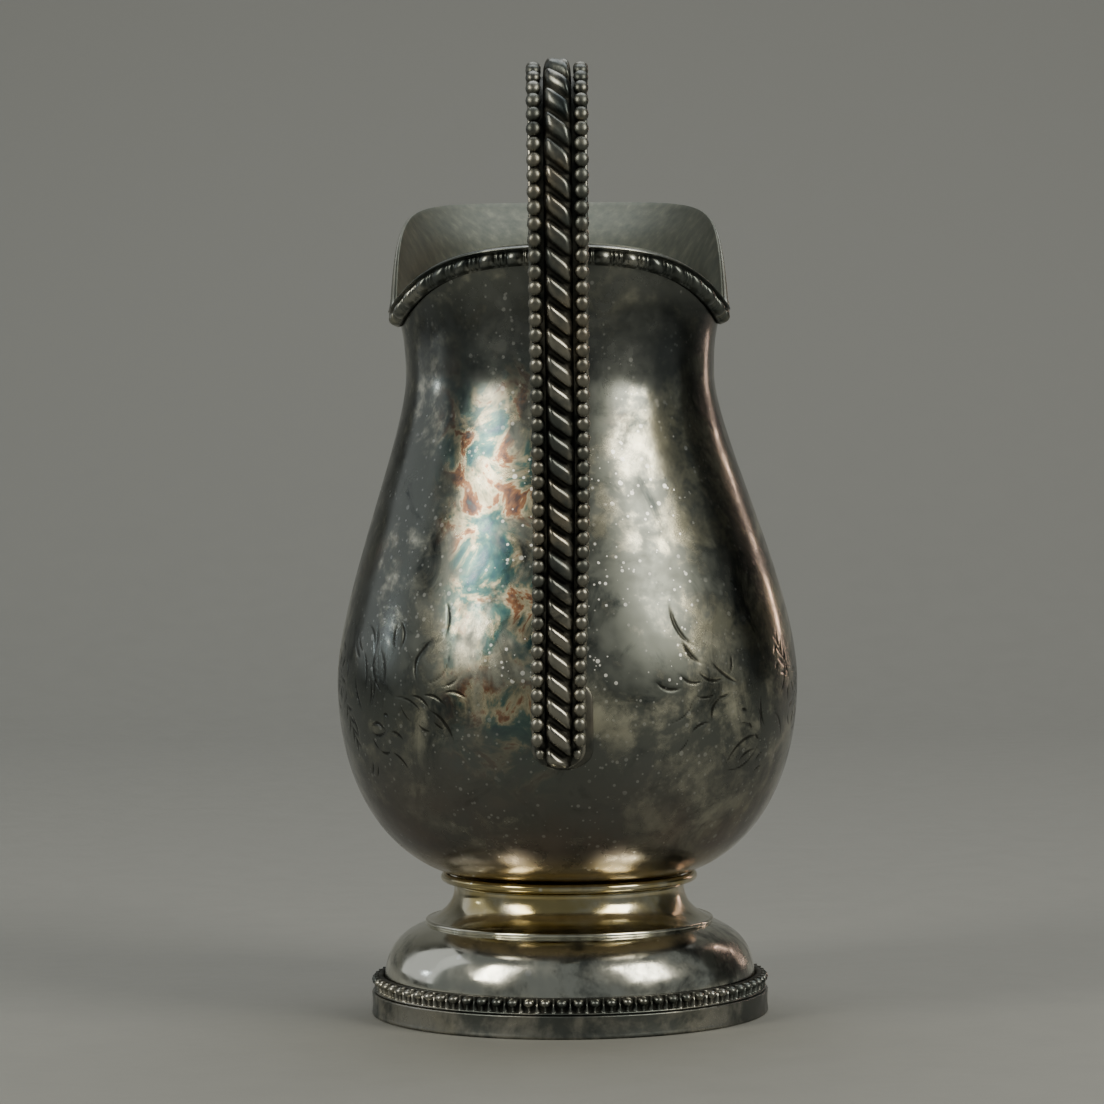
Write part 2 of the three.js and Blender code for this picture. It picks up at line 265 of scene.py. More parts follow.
@dataclass
class VesselShape:
    """The vessel's outside surface, in millimetres.

    Attributes:
        floor_radius: Radius of the flat floor.
        neck_radius: Radius at the narrowest part of the neck.
        neck_rise: Height of the neck above the floor.
        belly_rise: Height of the belly above the floor.
        rim_radius: Radius of the round back of the rim.
        back_rise: Height of the rim's back above the neck.
        side_rise: Height of the rim's dips above the neck.
        lip_rise: Height of the lip above the neck.
        lip_reach: Distance of the lip's tip from the axis.
        squareness: How blunt the lip is; 2 would be an ellipse.
        fullness: How long the lip stays high before it falls to the dips.
        dip_round: How softly the rim turns in its dips.
        shoulder: How long the rim's back stays level before it falls to the dips.
        turning: Where that fall crosses the plain round fall.
        bowl_out: How far the bowl's curve runs out level with the floor, as a share of the way.
        bowl_down: How far it runs straight down from the belly, as a share of the belly's height.
        shoulder_up: How far the shoulder's curve runs straight up from the belly, as a share.
        neck_down: Height down to which it runs straight below the neck, as a share.
        back_flare: How late the flare turns out at the back.
        lip_flare: How late it turns out under the lip.
        sheet: Thickness of the silver sheet.
    """

    floor_radius: float = 13.7
    neck_radius: float = 26.6
    neck_rise: float = 86.8
    belly_rise: float = 34.3
    rim_radius: float = 28.4
    back_rise: float = 21.3
    side_rise: float = 11.2
    lip_rise: float = 32.0
    lip_reach: float = 47.0
    squareness: float = 2.6
    fullness: float = 2.8
    dip_round: float = 2.6
    shoulder: float = 1.6
    turning: float = 0.66
    bowl_out: float = 0.53
    bowl_down: float = 0.66
    shoulder_up: float = 0.287
    neck_down: float = 0.812
    back_flare: float = 3.0
    lip_flare: float = 1.9
    sheet: float = 1.0
    floor_z: float = field(init=False)
    belly_radius: float = field(init=False)

    def __post_init__(self) -> None:
        """Take the floor's height and the belly's radius from the frame."""
        self.floor_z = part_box("body_shell")[0].z / MM
        self.belly_radius = size_of("body_shell").x / 2

    @property
    def belly_z(self) -> float:
        """Height of the belly's widest line."""
        return self.floor_z + self.belly_rise

    @property
    def neck_z(self) -> float:
        """Height where the neck ends and the flare starts."""
        return self.floor_z + self.neck_rise

    def outline(self, count: int = 400) -> Array:
        """Return the outside outline below the flare.

        Args:
            count: Points on each of the outline's two arcs.

        Returns:
            Rows of (radius, height), from the floor's edge to the neck.
        """
        wide, low, mid, top = self.belly_radius, self.floor_z, self.belly_z, self.neck_z
        bowl = [
            (self.floor_radius, low),
            (lerp(self.floor_radius, wide, self.bowl_out), low),
            (wide, mid - self.bowl_down * self.belly_rise),
            (wide, mid),
        ]
        shoulder = [
            (wide, mid),
            (wide, lerp(mid, top, self.shoulder_up)),
            (self.neck_radius, lerp(mid, top, self.neck_down)),
            (self.neck_radius, top),
        ]
        return np.vstack([bezier(bowl, count), bezier(shoulder, count)[1:]])

    def radius_at(self, z: Array | float) -> Array:
        """Return the outside radius at a height below the flare."""
        outline = self.outline()
        return np.interp(z, outline[:, 1], outline[:, 0])

    def rim_radius_at(self, angle: Array) -> Array:
        """Return the rim's distance from the axis.

        Args:
            angle: Angles, 0 under the lip and growing towards +X.

        Returns:
            Distances in millimetres.
        """
        front = np.maximum(np.cos(angle), 0) / self.lip_reach
        side = np.abs(np.sin(angle)) / self.rim_radius
        blunt = (side**self.squareness + front**self.squareness) ** (-1 / self.squareness)
        return np.where(np.cos(angle) > 0, blunt, self.rim_radius)

    def rim_rise_at(self, angle: Array) -> Array:
        """Return the rim's height above the neck.

        Args:
            angle: Angles, 0 under the lip and growing towards +X.

        Returns:
            Heights in millimetres.
        """
        from_lip = np.abs(wrapped(angle)) / QUARTER_TURN
        front = (self.lip_rise - self.side_rise) * (1 - from_lip**self.fullness)
        rear = np.maximum(-np.cos(angle), 0)
        level = self.shoulder * rear * (1 - rear) * (rear - self.turning)
        back = (self.back_rise - self.side_rise) * (level - np.cos(angle))
        blend = np.hypot(front - back, self.dip_round)
        return self.side_rise + (front + back + blend) / 2

    def flare_point(self, angle: Array, share: Array) -> Array:
        """Return points on the flare.

        Args:
            angle: Angles, 0 under the lip and growing towards +X.
            share: Places on the flare, 0 at the neck and 1 at the rim.

        Returns:
            The points, in millimetres from the jug's axis.
        """
        drawn_out = (1 + np.cos(angle)) / 2
        power = lerp(self.back_flare, self.lip_flare, drawn_out**2)
        overhang = self.rim_radius_at(angle) - self.neck_radius
        radius = self.neck_radius + overhang * np.maximum(share, 0) ** power
        return around_axis(radius, self.neck_z + self.rim_rise_at(angle) * share, angle)

    def flare_normal(self, angle: Array, share: Array) -> Array:
        """Return the flare's outward directions, square to its surface.

        Args:
            angle: Angles, 0 under the lip and growing towards +X.
            share: Places on the flare, 0 at the neck and 1 at the rim.

        Returns:
            Directions of length 1.
        """
        step = 1e-3
        low = np.maximum(share - step, 0)
        along = self.flare_point(angle + step, share) - self.flare_point(angle - step, share)
        upward = self.flare_point(angle, low + step) - self.flare_point(angle, low)
        normal = np.cross(upward, along)
        return normal / np.linalg.norm(normal, axis=-1, keepdims=True)

    def flare_offset(self, angle: Array, share: Array, distance: Array | float) -> Array:
        """Return flare points moved outwards by a distance.

        Args:
            angle: Angles, 0 under the lip and growing towards +X.
            share: Places on the flare, 0 at the neck and 1 at the rim.
            distance: How far outwards, in millimetres.

        Returns:
            The points, in millimetres from the jug's axis.
        """
        out = np.asarray(distance)
        out = out[..., None] if out.ndim else out
        return self.flare_point(angle, share) + self.flare_normal(angle, share) * out


# --------------------------------------------------------------------------------------------------
# Engraving
# --------------------------------------------------------------------------------------------------


@dataclass(frozen=True)
class Cut:
    """One stroke of the graver on the flattened belly.

    Attributes:
        start: Where the stroke begins, in millimetres: distance from the side's middle towards the handle,
            and height above the pattern's middle line.
        end: Where it ends.
        bow: How far its middle bows to the left of the straight line, as a share of its length.
        width: Its greatest width.
        depth: Its greatest depth.
    """

    start: Spot
    end: Spot
    bow: float = 0.15
    width: float = 0.5
    depth: float = 0.13

    def path(self, count: int = 14) -> Array:
        """Return points along the stroke.

        Args:
            count: How many points to return.

        Returns:
            The points, one per row, on the flattened belly.
        """
        start, end = np.array(self.start), np.array(self.end)
        run = end - start
        left = np.array([-run[1], run[0]])
        share = np.linspace(0, 1, count)[:, None]
        return start + run * share + left * self.bow * 4 * share * (1 - share)

    def mirrored(self) -> "Cut":
        """Return the same stroke on the other side of the pattern's middle."""
        start, end = (-self.start[0], self.start[1]), (-self.end[0], self.end[1])
        return Cut(start, end, -self.bow, self.width, self.depth)


@dataclass
class Spray:
    """A spray of bright-cut leaves and a flower on one side of the belly.

    Attributes:
        middle_above_floor: Height of the pattern's middle line above the jug's floor.
        line_width: Width of a thin outline.
        boldness: How much wider than drawn the graver cuts.
    """

    middle_above_floor: float = 32.8
    line_width: float = 0.26
    boldness: float = 1.3

    def fern(self, root: Spot, aim: float, length: float, leaflets: int) -> list[Cut]:
        """Cut a fern of paired crescents.

        Args:
            root: Where the fern grows from.
            aim: Its direction in degrees, 0 towards the handle.
            length: Length of its rib.
            leaflets: Number of pairs of crescents.

        Returns:
            The cuts.
        """
        cuts = []
        heading = math.radians(aim)
        for i in range(leaflets):
            share = (i + 0.3) / leaflets
            walked = length * 0.75 * share
            base = (root[0] + walked * math.cos(heading), root[1] + walked * math.sin(heading))
            for side in (-1, 1):
                spread = heading + side * math.radians(lerp(52, 16, share))
                reach = length * lerp(0.30, 0.36, math.sin(math.pi * share))
                tip = (base[0] + reach * math.cos(spread), base[1] + reach * math.sin(spread))
                cuts.append(Cut(base, tip, bow=-0.14 * side, width=0.52, depth=0.14))
        return cuts

    def leaf(self, root: Spot, tip: Spot, fatness: float, ribs: int) -> list[Cut]:
        """Cut an almond leaf: two bold sides, a fine rib and hatching on one half.

        Args:
            root: The leaf's foot.
            tip: Its point.
            fatness: How far each side bows out, as a share of the length.
            ribs: Number of hatching strokes.

        Returns:
            The cuts.
        """
        cuts = [
            Cut(root, tip, bow=fatness, width=0.55, depth=0.15),
            Cut(root, tip, bow=-fatness, width=0.42, depth=0.12),
            Cut(root, tip, bow=0.03, width=self.line_width, depth=0.07),
        ]
        run = np.array(tip) - np.array(root)
        left = np.array([-run[1], run[0]])
        for i in range(ribs):
            share = (i + 1.2) / (ribs + 1.8)
            inner = np.array(root) + run * share + left * 0.03
            outer = np.array(root) + run * min(share + 0.10, 1) + left * fatness * 3.1 * share * (1 - share)
            cuts.append(Cut(tuple(inner), tuple(outer), bow=0.05, width=0.2, depth=0.06))
        return cuts

    def flower(self, centre: Spot, radius: float, petals: int) -> list[Cut]:
        """Cut an open flower of rounded petals round a small eye.

        Args:
            centre: The flower's middle.
            radius: Its outer radius.
            petals: Number of petals.

        Returns:
            The cuts.
        """
        cuts = []
        for i in range(petals):
            aim = FULL_TURN * i / petals + 0.3
            half = math.pi / petals
            eye, edge = 0.28 * radius, 0.86 * radius

            def at(distance: float, turn: float) -> Spot:
                """Return a point at a distance and a turn from the flower's middle."""
                return (centre[0] + distance * math.cos(turn), centre[1] + distance * math.sin(turn))

            cuts += [
                Cut(at(eye, aim - 0.5 * half), at(edge, aim - 0.8 * half), bow=-0.12, width=0.42),
                Cut(at(eye, aim + 0.5 * half), at(edge, aim + 0.8 * half), bow=0.12, width=0.42),
                Cut(at(edge, aim - 0.8 * half), at(edge, aim + 0.8 * half), bow=-0.30, width=0.5),
                Cut(at(eye * 1.2, aim), at(radius * 0.72, aim), bow=0.02, width=0.22, depth=0.07),
                Cut(at(0.18 * radius, aim), at(0.2 * radius, aim + 2 * half), -0.2, 0.3, 0.09),
            ]
        return cuts

    def right_cuts(self) -> list[Cut]:
        """Return the cuts of the handle's half of the right-hand spray.

        Returns:
            The cuts; the lip's half mirrors them.
        """
        return [
            Cut((43.6, 16.4), (39.6, 8.6), 0.16, 0.75, 0.17),
            Cut((42.0, 10.0), (38.3, 5.8), 0.14, 0.70, 0.16),
            Cut((36.8, 6.4), (30.6, 2.3), 0.07, 0.60, 0.15),
            Cut((32.3, 7.4), (32.9, 3.7), -0.16, 0.45),
            Cut((39.6, 4.9), (34.0, 3.5), 0.20, 0.60, 0.15),
            Cut((43.1, 4.4), (38.4, 3.2), 0.20, 0.62, 0.15),
            Cut((47.6, 3.5), (42.6, 2.3), 0.20, 0.70, 0.16),
            Cut((32.6, 1.1), (36.0, 0.2), -0.10, 0.50),
            Cut((35.4, 1.3), (40.4, 0.9), -0.16, 0.42),
            Cut((40.2, 1.0), (45.6, -3.8), -0.18, 0.36, 0.10),
            Cut((34.4, 0.3), (36.4, -4.0), 0.24, 0.58, 0.15),
            Cut((36.4, -4.0), (41.2, -6.0), 0.16, 0.46),
            Cut((41.0, -5.7), (43.8, -9.0), -0.12, 0.34, 0.10),
            *self.hatching((35.6, -0.8), (40.0, -4.8), 1.9, 9),
            *self.leaf((23.4, -6.8), (32.8, -12.0), 0.20, 10),
            Cut((25.0, -6.0), (31.5, -4.4), 0.10, 0.30, 0.09),
            Cut((24.5, -9.2), (29.6, -11.4), 0.16, 0.50, 0.14),
            Cut((27.6, -4.2), (26.4, -5.4), 0.1, 0.5),
            Cut((25.6, -6.2), (24.0, -7.4), 0.1, 0.55),
            Cut((30.0, -2.2), (28.2, -2.6), -0.2, 0.45),
            Cut((24.4, 0.4), (22.6, -5.6), 0.12, 0.55, 0.15),
            Cut((25.6, -1.4), (24.0, -6.4), -0.10, 0.40),
            Cut((15.0, 7.4), (18.0, -0.6), -0.16, 0.50),
            Cut((17.0, 8.0), (19.2, 6.4), 0.14, 0.55),
            Cut((17.4, 5.0), (19.2, 4.0), 0.14, 0.50),
            Cut((13.6, 9.0), (11.8, 1.5), 0.2, 0.45),
            Cut((22.0, -9.6), (24.4, -11.4), 0.12, 0.45),
            Cut((21.6, -12.2), (24.2, -13.2), 0.12, 0.40),
            Cut((20.6, -3.0), (16.0, -8.0), -0.2, 0.50),
            *self.flower((8.5, -1.5), 5.4, 6),
            *self.fern((14.0, 2.0), 66, 9.5, 4),
        ]

    def left_cuts(self) -> list[Cut]:
        """Return the cuts of the handle's half of the left-hand spray.

        Returns:
            The cuts; the lip's half mirrors them.
        """
        return [
            Cut((35.6, 2.8), (37.8, 9.4), 0.26, 0.60, 0.16),
            Cut((34.8, 6.2), (38.6, 10.6), 0.08, 0.50),
            Cut((35.9, 2.8), (41.6, 9.6), -0.28, 0.32, 0.09),
            Cut((40.0, 16.5), (40.4, 10.4), 0.12, 0.55, 0.14),
            Cut((30.2, 13.0), (31.0, 8.4), 0.20, 0.60, 0.15),
            Cut((29.9, 13.0), (30.0, 8.0), -0.16, 0.36),
            Cut((40.2, 2.7), (43.8, 4.6), -0.16, 0.45),
            Cut((40.6, 1.5), (45.4, 0.6), 0.14, 0.70, 0.16),
            Cut((36.6, 1.0), (41.2, -0.6), 0.14, 0.65, 0.16),
            Cut((33.6, 0.9), (38.2, -1.6), 0.16, 0.55, 0.15),
            Cut((37.4, -1.2), (42.6, -6.8), 0.14, 0.60, 0.15),
            Cut((38.6, -3.2), (41.0, -4.6), -0.06, 0.42),
            Cut((30.0, 0.5), (36.8, -2.4), 0.14, 0.42, 0.12),
            Cut((31.4, 0.0), (34.6, -3.8), -0.14, 0.34, 0.10),
            Cut((35.2, -3.6), (38.2, -4.9), -0.14, 0.50),
            *self.hatching((33.4, -0.8), (36.4, -3.6), 1.4, 6),
            Cut((22.6, -5.0), (27.4, -5.6), 0.24, 0.60, 0.16),
            Cut((22.6, -5.6), (27.6, -5.2), -0.16, 0.50),
            Cut((28.4, -5.4), (31.8, -7.0), 0.16, 0.55),
            Cut((23.0, -6.4), (25.0, -8.8), -0.12, 0.40),
            Cut((24.6, -8.6), (28.2, -8.6), -0.16, 0.55),
            Cut((28.0, -8.8), (32.0, -12.0), 0.12, 0.50, 0.14),
            Cut((26.8, -2.8), (28.4, -2.9), 0.20, 0.55),
            Cut((20.0, 12.2), (23.6, 7.4), 0.24, 0.50),
            Cut((22.8, 13.0), (23.4, 7.0), 0.20, 0.50, 0.14),
            Cut((20.2, 7.8), (21.8, 1.0), 0.12, 0.55, 0.15),
            Cut((18.0, 3.6), (20.4, -2.2), -0.12, 0.55, 0.15),
            Cut((23.0, 3.8), (22.6, -1.6), 0.16, 0.50),
            Cut((24.6, 4.0), (23.6, -1.0), 0.10, 0.40),
            Cut((16.4, 9.0), (19.0, 6.6), -0.12, 0.50),
            Cut((17.4, 10.0), (20.0, 7.6), -0.12, 0.40),
            Cut((21.6, -10.6), (19.6, -13.4), 0.10, 0.55),
            Cut((23.2, -11.0), (21.4, -13.6), 0.10, 0.45),
            Cut((15.0, -3.0), (17.6, -8.0), 0.16, 0.50),
            *self.flower((8.5, 3.0), 5.6, 6),
            *self.fern((13.0, -1.0), -62, 10.0, 4),
            *self.leaf((27.0, 1.0), (24.6, 9.0), 0.20, 6),
        ]

    def hatching(self, start: Spot, end: Spot, length: float, count: int) -> list[Cut]:
        """Cut a band of short parallel strokes.

        Args:
            start: Middle of the first stroke.
            end: Middle of the last stroke.
            length: Length of a stroke.
            count: Number of strokes.

        Returns:
            The cuts.
        """
        first, last = np.array(start), np.array(end)
        run = (last - first) / np.linalg.norm(last - first)
        across = np.array([-run[1], run[0]]) * length / 2
        middles = [lerp(first, last, i / (count - 1)) for i in range(count)]
        slant = run * 0.3
        return [Cut(tuple(m - across), tuple(m + across + slant), 0.06, 0.22, 0.06) for m in middles]

    def depth_on(self, cuts: list[Cut], sideways: Array, height: Array) -> Array:
        """Return how deep the graver went at points of the flattened belly.

        Args:
            cuts: The cuts of the handle's half; the lip's half mirrors them.
            sideways: Distance from the side's middle, in millimetres.
            height: Height above the pattern's middle line.

        Returns:
            Depth in millimetres, 0 where nothing is cut.
        """
        depth = np.zeros_like(sideways)
        for cut in [*cuts, *(cut.mirrored() for cut in cuts)]:
            path = cut.path()
            low, high = path.min(0) - cut.width, path.max(0) + cut.width
            near = (sideways > low[0]) & (sideways < high[0]) & (height > low[1]) & (height < high[1])
            if not near.any():
                continue
            spot = np.stack([sideways[near], height[near]], axis=-1)[:, None, :]
            first, run = path[None, :-1], (path[1:] - path[:-1])[None]
            share = np.clip(((spot - first) * run).sum(-1) / (run**2).sum(-1), 0, 1)
            gap = np.linalg.norm(spot - first - run * share[..., None], axis=-1)
            nearest = gap.argmin(1)
            rows = np.arange(len(nearest))
            along = (nearest + share[rows, nearest]) / (len(path) - 1)
            swell = np.sin(math.pi * np.clip(along, 0.02, 0.98)) ** 0.8
            half = self.boldness * cut.width / 2 * (0.25 + 0.75 * swell)
            groove = np.clip(1 - gap[rows, nearest] / half, 0, 1) * cut.depth * swell
            depth[near] = np.maximum(depth[near], groove)
        return depth


# --------------------------------------------------------------------------------------------------
# Vessel
# --------------------------------------------------------------------------------------------------


@dataclass
class Vessel:
    """The spun body with its lip.

    Attributes:
        shape: The surface that the sheet follows.
        spray: The engraving on each side.
        engraved_low: Lower edge of the finely meshed belt, above the floor.
        engraved_high: Upper edge of that belt.
        fine_step: Spacing of the mesh inside the belt.
        edge_sheet: Thickness to which the sheet is drawn out at the rim.
        fine_side: Half the width of the finely meshed sides, in degrees.
        full_cut: Depth of a cut that is wholly filled with grime.
    """

    shape: VesselShape
    spray: Spray = field(default_factory=Spray)
    engraved_low: float = 18.8
    engraved_high: float = 50.2
    fine_step: float = 0.26
    edge_sheet: float = 0.4
    fine_side: float = 72.0
    full_cut: float = 0.15

    def angles(self) -> Array:
        """Lay out the columns, close together where the sides are engraved.

        Returns:
            The columns' angles.
        """
        side = math.radians(self.fine_side)
        fine = np.arange(QUARTER_TURN - side, QUARTER_TURN + side, self.fine_step / self.shape.belly_radius)
        front = np.linspace(-(QUARTER_TURN - side), QUARTER_TURN - side, 27)[:-1]
        back = np.linspace(fine[-1], FULL_TURN - fine[-1], 28)[1:-1]
        return np.concatenate([front, fine, back, FULL_TURN - fine[::-1][:-1]])

    def lower_rows(self) -> Array:
        """Lay out the outside's rows below the flare, close together in the engraved belt.

        Returns:
            Rows of (radius, height).
        """
        outline = self.shape.outline()
        low, high = self.shape.floor_z + self.engraved_low, self.shape.floor_z + self.engraved_high
        below = outline[outline[:, 1] < low][::14]
        belt = np.arange(low, high, self.fine_step)
        above = outline[outline[:, 1] >= high][::10]
        return np.vstack([below, np.stack([self.shape.radius_at(belt), belt], axis=-1), above[:-1]])

    def engraved_depth(self, height: Array, turn: Array) -> Array:
        """Find how deep the graver went below the flare.

        Args:
            height: The rows' heights, as a column.
            turn: The columns' angles, as a row.

        Returns:
            Depths in millimetres, by row and column.
        """
        sideways = (np.abs(wrapped(turn)) - QUARTER_TURN) * self.shape.belly_radius
        level = height - self.shape.floor_z - self.spray.middle_above_floor
        sideways, level = (np.array(part) for part in np.broadcast_arrays(sideways, level))
        right = self.spray.depth_on(self.spray.right_cuts(), sideways, level)
        left = self.spray.depth_on(self.spray.left_cuts(), sideways, level)
        return np.where(np.sin(turn) > 0, right, left)

    def rim_edge(self, angle: Array) -> Array:
        """Round the sheet's edge off, from the outside to the lining.

        Args:
            angle: The columns' angles.

        Returns:
            The rows between the outside's last and the lining's first.
        """
        rim = np.ones_like(angle)
        upward = self.shape.flare_point(angle, rim) - self.shape.flare_point(angle, rim - 0.01)
        upward /= np.linalg.norm(upward, axis=-1, keepdims=True)
        half_sheet = self.edge_sheet / 2
        rows = []
        for roll in np.linspace(0, math.pi, 9)[1:-1]:
            base = self.shape.flare_offset(angle, rim, -half_sheet * (1 - math.cos(roll)))
            rows.append(base + upward * half_sheet * math.sin(roll))
        return np.stack(rows)

    def lining(self, turn: Array) -> Array:
        """Lay out the lining below the flare.

        Args:
            turn: The columns' angles.

        Returns:
            The rows from the neck down to the floor.
        """
        outline = self.shape.outline()[:-1][::26]
        run = np.gradient(outline, axis=0)
        run /= np.linalg.norm(run, axis=1, keepdims=True)
        inward = np.stack([-run[:, 1], run[:, 0]], axis=-1)
        inner = (outline + inward * self.shape.sheet)[::-1]
        return around_axis(inner[:, :1], inner[:, 1:], turn)

    def build(self) -> bpy.types.Object:
        """Make the sheet: outside, rounded rim edge and lining, with the engraving cut in.

        Returns:
            The new piece.
        """
        shape, angles, rows = self.shape, self.angles(), self.lower_rows()
        depth = self.engraved_depth(rows[:, 1:], angles[None, :])
        outside = around_axis(rows[:, :1] - depth, rows[:, 1:], angles)

        shares = np.linspace(0, 1, 40) ** 0.9
        share, angle = np.meshgrid(shares, angles, indexing="ij")
        flare = shape.flare_offset(angle, share, 0.0)
        sheet = lerp(shape.sheet, self.edge_sheet, smooth_step(0.75, 1.0, shares))
        flare_lining = shape.flare_offset(angle, share, np.broadcast_to(-sheet[:, None], share.shape))[::-1]

        grid = np.concatenate([outside, flare, self.rim_edge(angles), flare_lining, self.lining(angles)])
        piece = grid_mesh("body_shell_skin", grid, capped=True)
        turn_outward(piece)
        cut_share = np.zeros(grid.shape[:2])
        cut_share[: len(rows)] = depth / self.full_cut
        inside = np.zeros(grid.shape[:2])
        inside[len(rows) + len(shares) :] = 1.0
        store(piece, "engraved", cut_share)
        store(piece, "inside", inside)
        return piece


# --------------------------------------------------------------------------------------------------
# Rim moulding
# --------------------------------------------------------------------------------------------------


@dataclass
class RimMoulding:
    """The bead-and-reel wire below the rim, in two halves that meet at the lip's tip and at the back.

    Attributes:
        shape: The vessel that it is soldered to.
        height: Height of the moulding.
        depth: How far it stands out.
        ledge: How far its top stands above the sheet's edge.
        gap: Gap to the sheet, and between the halves.
        period: Length of one bead and its two reels.
        bead_length: Length of an oval bead.
        reel_length: Thickness of a reel.
        roll_share: Share of the height taken by the plain roll along the top.
        stations: Sections along each half.
        lip_depth_share: Share of the depth that is left along the lip, where the wire was filed thinner.
        nick: Length from one file mark on the lip to the next.
        beads_from: Angle from the lip's tip where the beads start.
        beads_full: Angle where they are full.
    """

    shape: VesselShape
    height: float = 3.5
    depth: float = 1.8
    ledge: float = 0.1
    gap: float = 0.3
    period: float = 5.1
    bead_length: float = 3.2
    reel_length: float = 0.75
    roll_share: float = 0.17
    stations: int = 640
    lip_depth_share: float = 0.55
    nick: float = 1.3
    beads_from: float = 1.40
    beads_full: float = 1.80

    def swell(self, distance: Array) -> Array:
        """Find how full the bead row is.

        Args:
            distance: Distances along the rim.

        Returns:
            Fullness from 0 to 1.
        """
        place = (distance % self.period) - self.period / 2
        bead = half_round(place, self.bead_length / 2)
        off_reel = np.abs(np.abs(place) - self.period / 2 + self.reel_length * 0.56)
        reel = 0.76 * half_round(off_reel, self.reel_length / 2) ** 0.7
        return np.maximum(np.maximum(bead**0.8, reel), 0.40)

    def beaded(self, swell: Array, up: Array) -> Array:
        """Find the section where the wire is beaded: the row of beads under its plain roll.

        Args:
            swell: How full the bead row is, as a column.
            up: Places from the moulding's bottom at 0 to its top at 1, as a row.

        Returns:
            How far each place stands out, from 0 to 1.
        """
        row_top = 1 - self.roll_share
        row_half = row_top / 2 * (0.72 + 0.28 * swell)
        row = half_round(up - row_top / 2, row_half) * swell
        roll = 0.74 * half_round(up - (1 - self.roll_share / 2), self.roll_share / 2 * 1.02)
        return np.maximum(np.maximum(row, roll), 0.22)

    def build(self, side: int) -> bpy.types.Object:
        """Make one half.

        Args:
            side: 1 for the half towards +X, -1 for the other.

        Returns:
            The new piece.
        """
        shape = self.shape
        dense = np.linspace(0, math.pi, 2000)
        travelled = length_along(shape.flare_offset(dense, np.ones_like(dense), self.depth))
        distance = np.linspace(self.gap / 2, travelled[-1] - self.gap / 2, self.stations)
        angle = np.interp(distance, travelled, dense)
        periods = round(travelled[-1] / self.period)
        swell = self.swell(distance * periods * self.period / travelled[-1])[:, None]

        up = np.linspace(0, 1, 27)[None, :]
        at_back = smooth_step(self.beads_from, self.beads_full, angle)[:, None]
        plain = 0.8 * half_round(up - 0.5, 0.53)
        fullness = lerp(plain, self.beaded(swell, up), at_back)
        # Painted shade: recesses between the beads and under the roll darken, and the inner face darkens
        # wherever the wire is beaded.
        hollow_shade = np.clip(0.8 - fullness / 0.70, 0, 1) * at_back

        nicks = 0.86 + 0.14 * np.cos(distance * FULL_TURN / self.nick)
        depth = self.depth * lerp(self.lip_depth_share * nicks, 1.0, smooth_step(1.15, 1.75, angle))[:, None]
        rim = np.ones_like(angle)
        upper_tenth = shape.flare_point(angle, rim) - shape.flare_point(angle, 0.9 * rim)
        rise = 10 * np.linalg.norm(upper_tenth, axis=-1)
        share = 1 - ((1 - up) * self.height - self.ledge) / rise[:, None]
        turn = np.broadcast_to(angle[:, None], share.shape)
        outer = shape.flare_offset(turn, share, self.gap * 0.5 + depth * fullness)
        inner = shape.flare_offset(turn[:, ::6], share[:, ::6], self.gap * 0.3)[:, ::-1]
        grid = np.concatenate([outer, inner], axis=1)
        grid[..., 0] *= side
        piece = grid_mesh(f"rim_bead_and_reel_{SIDE_NAME[side]}", grid, capped=True)
        turn_outward(piece)
        store(piece, "hollow_shade", np.concatenate([hollow_shade, np.broadcast_to(at_back, inner.shape[:2])], axis=1))
        store(piece, "dull", np.broadcast_to(1 - at_back, grid.shape[:2]).copy())
        return piece


# --------------------------------------------------------------------------------------------------
# Foot
# --------------------------------------------------------------------------------------------------


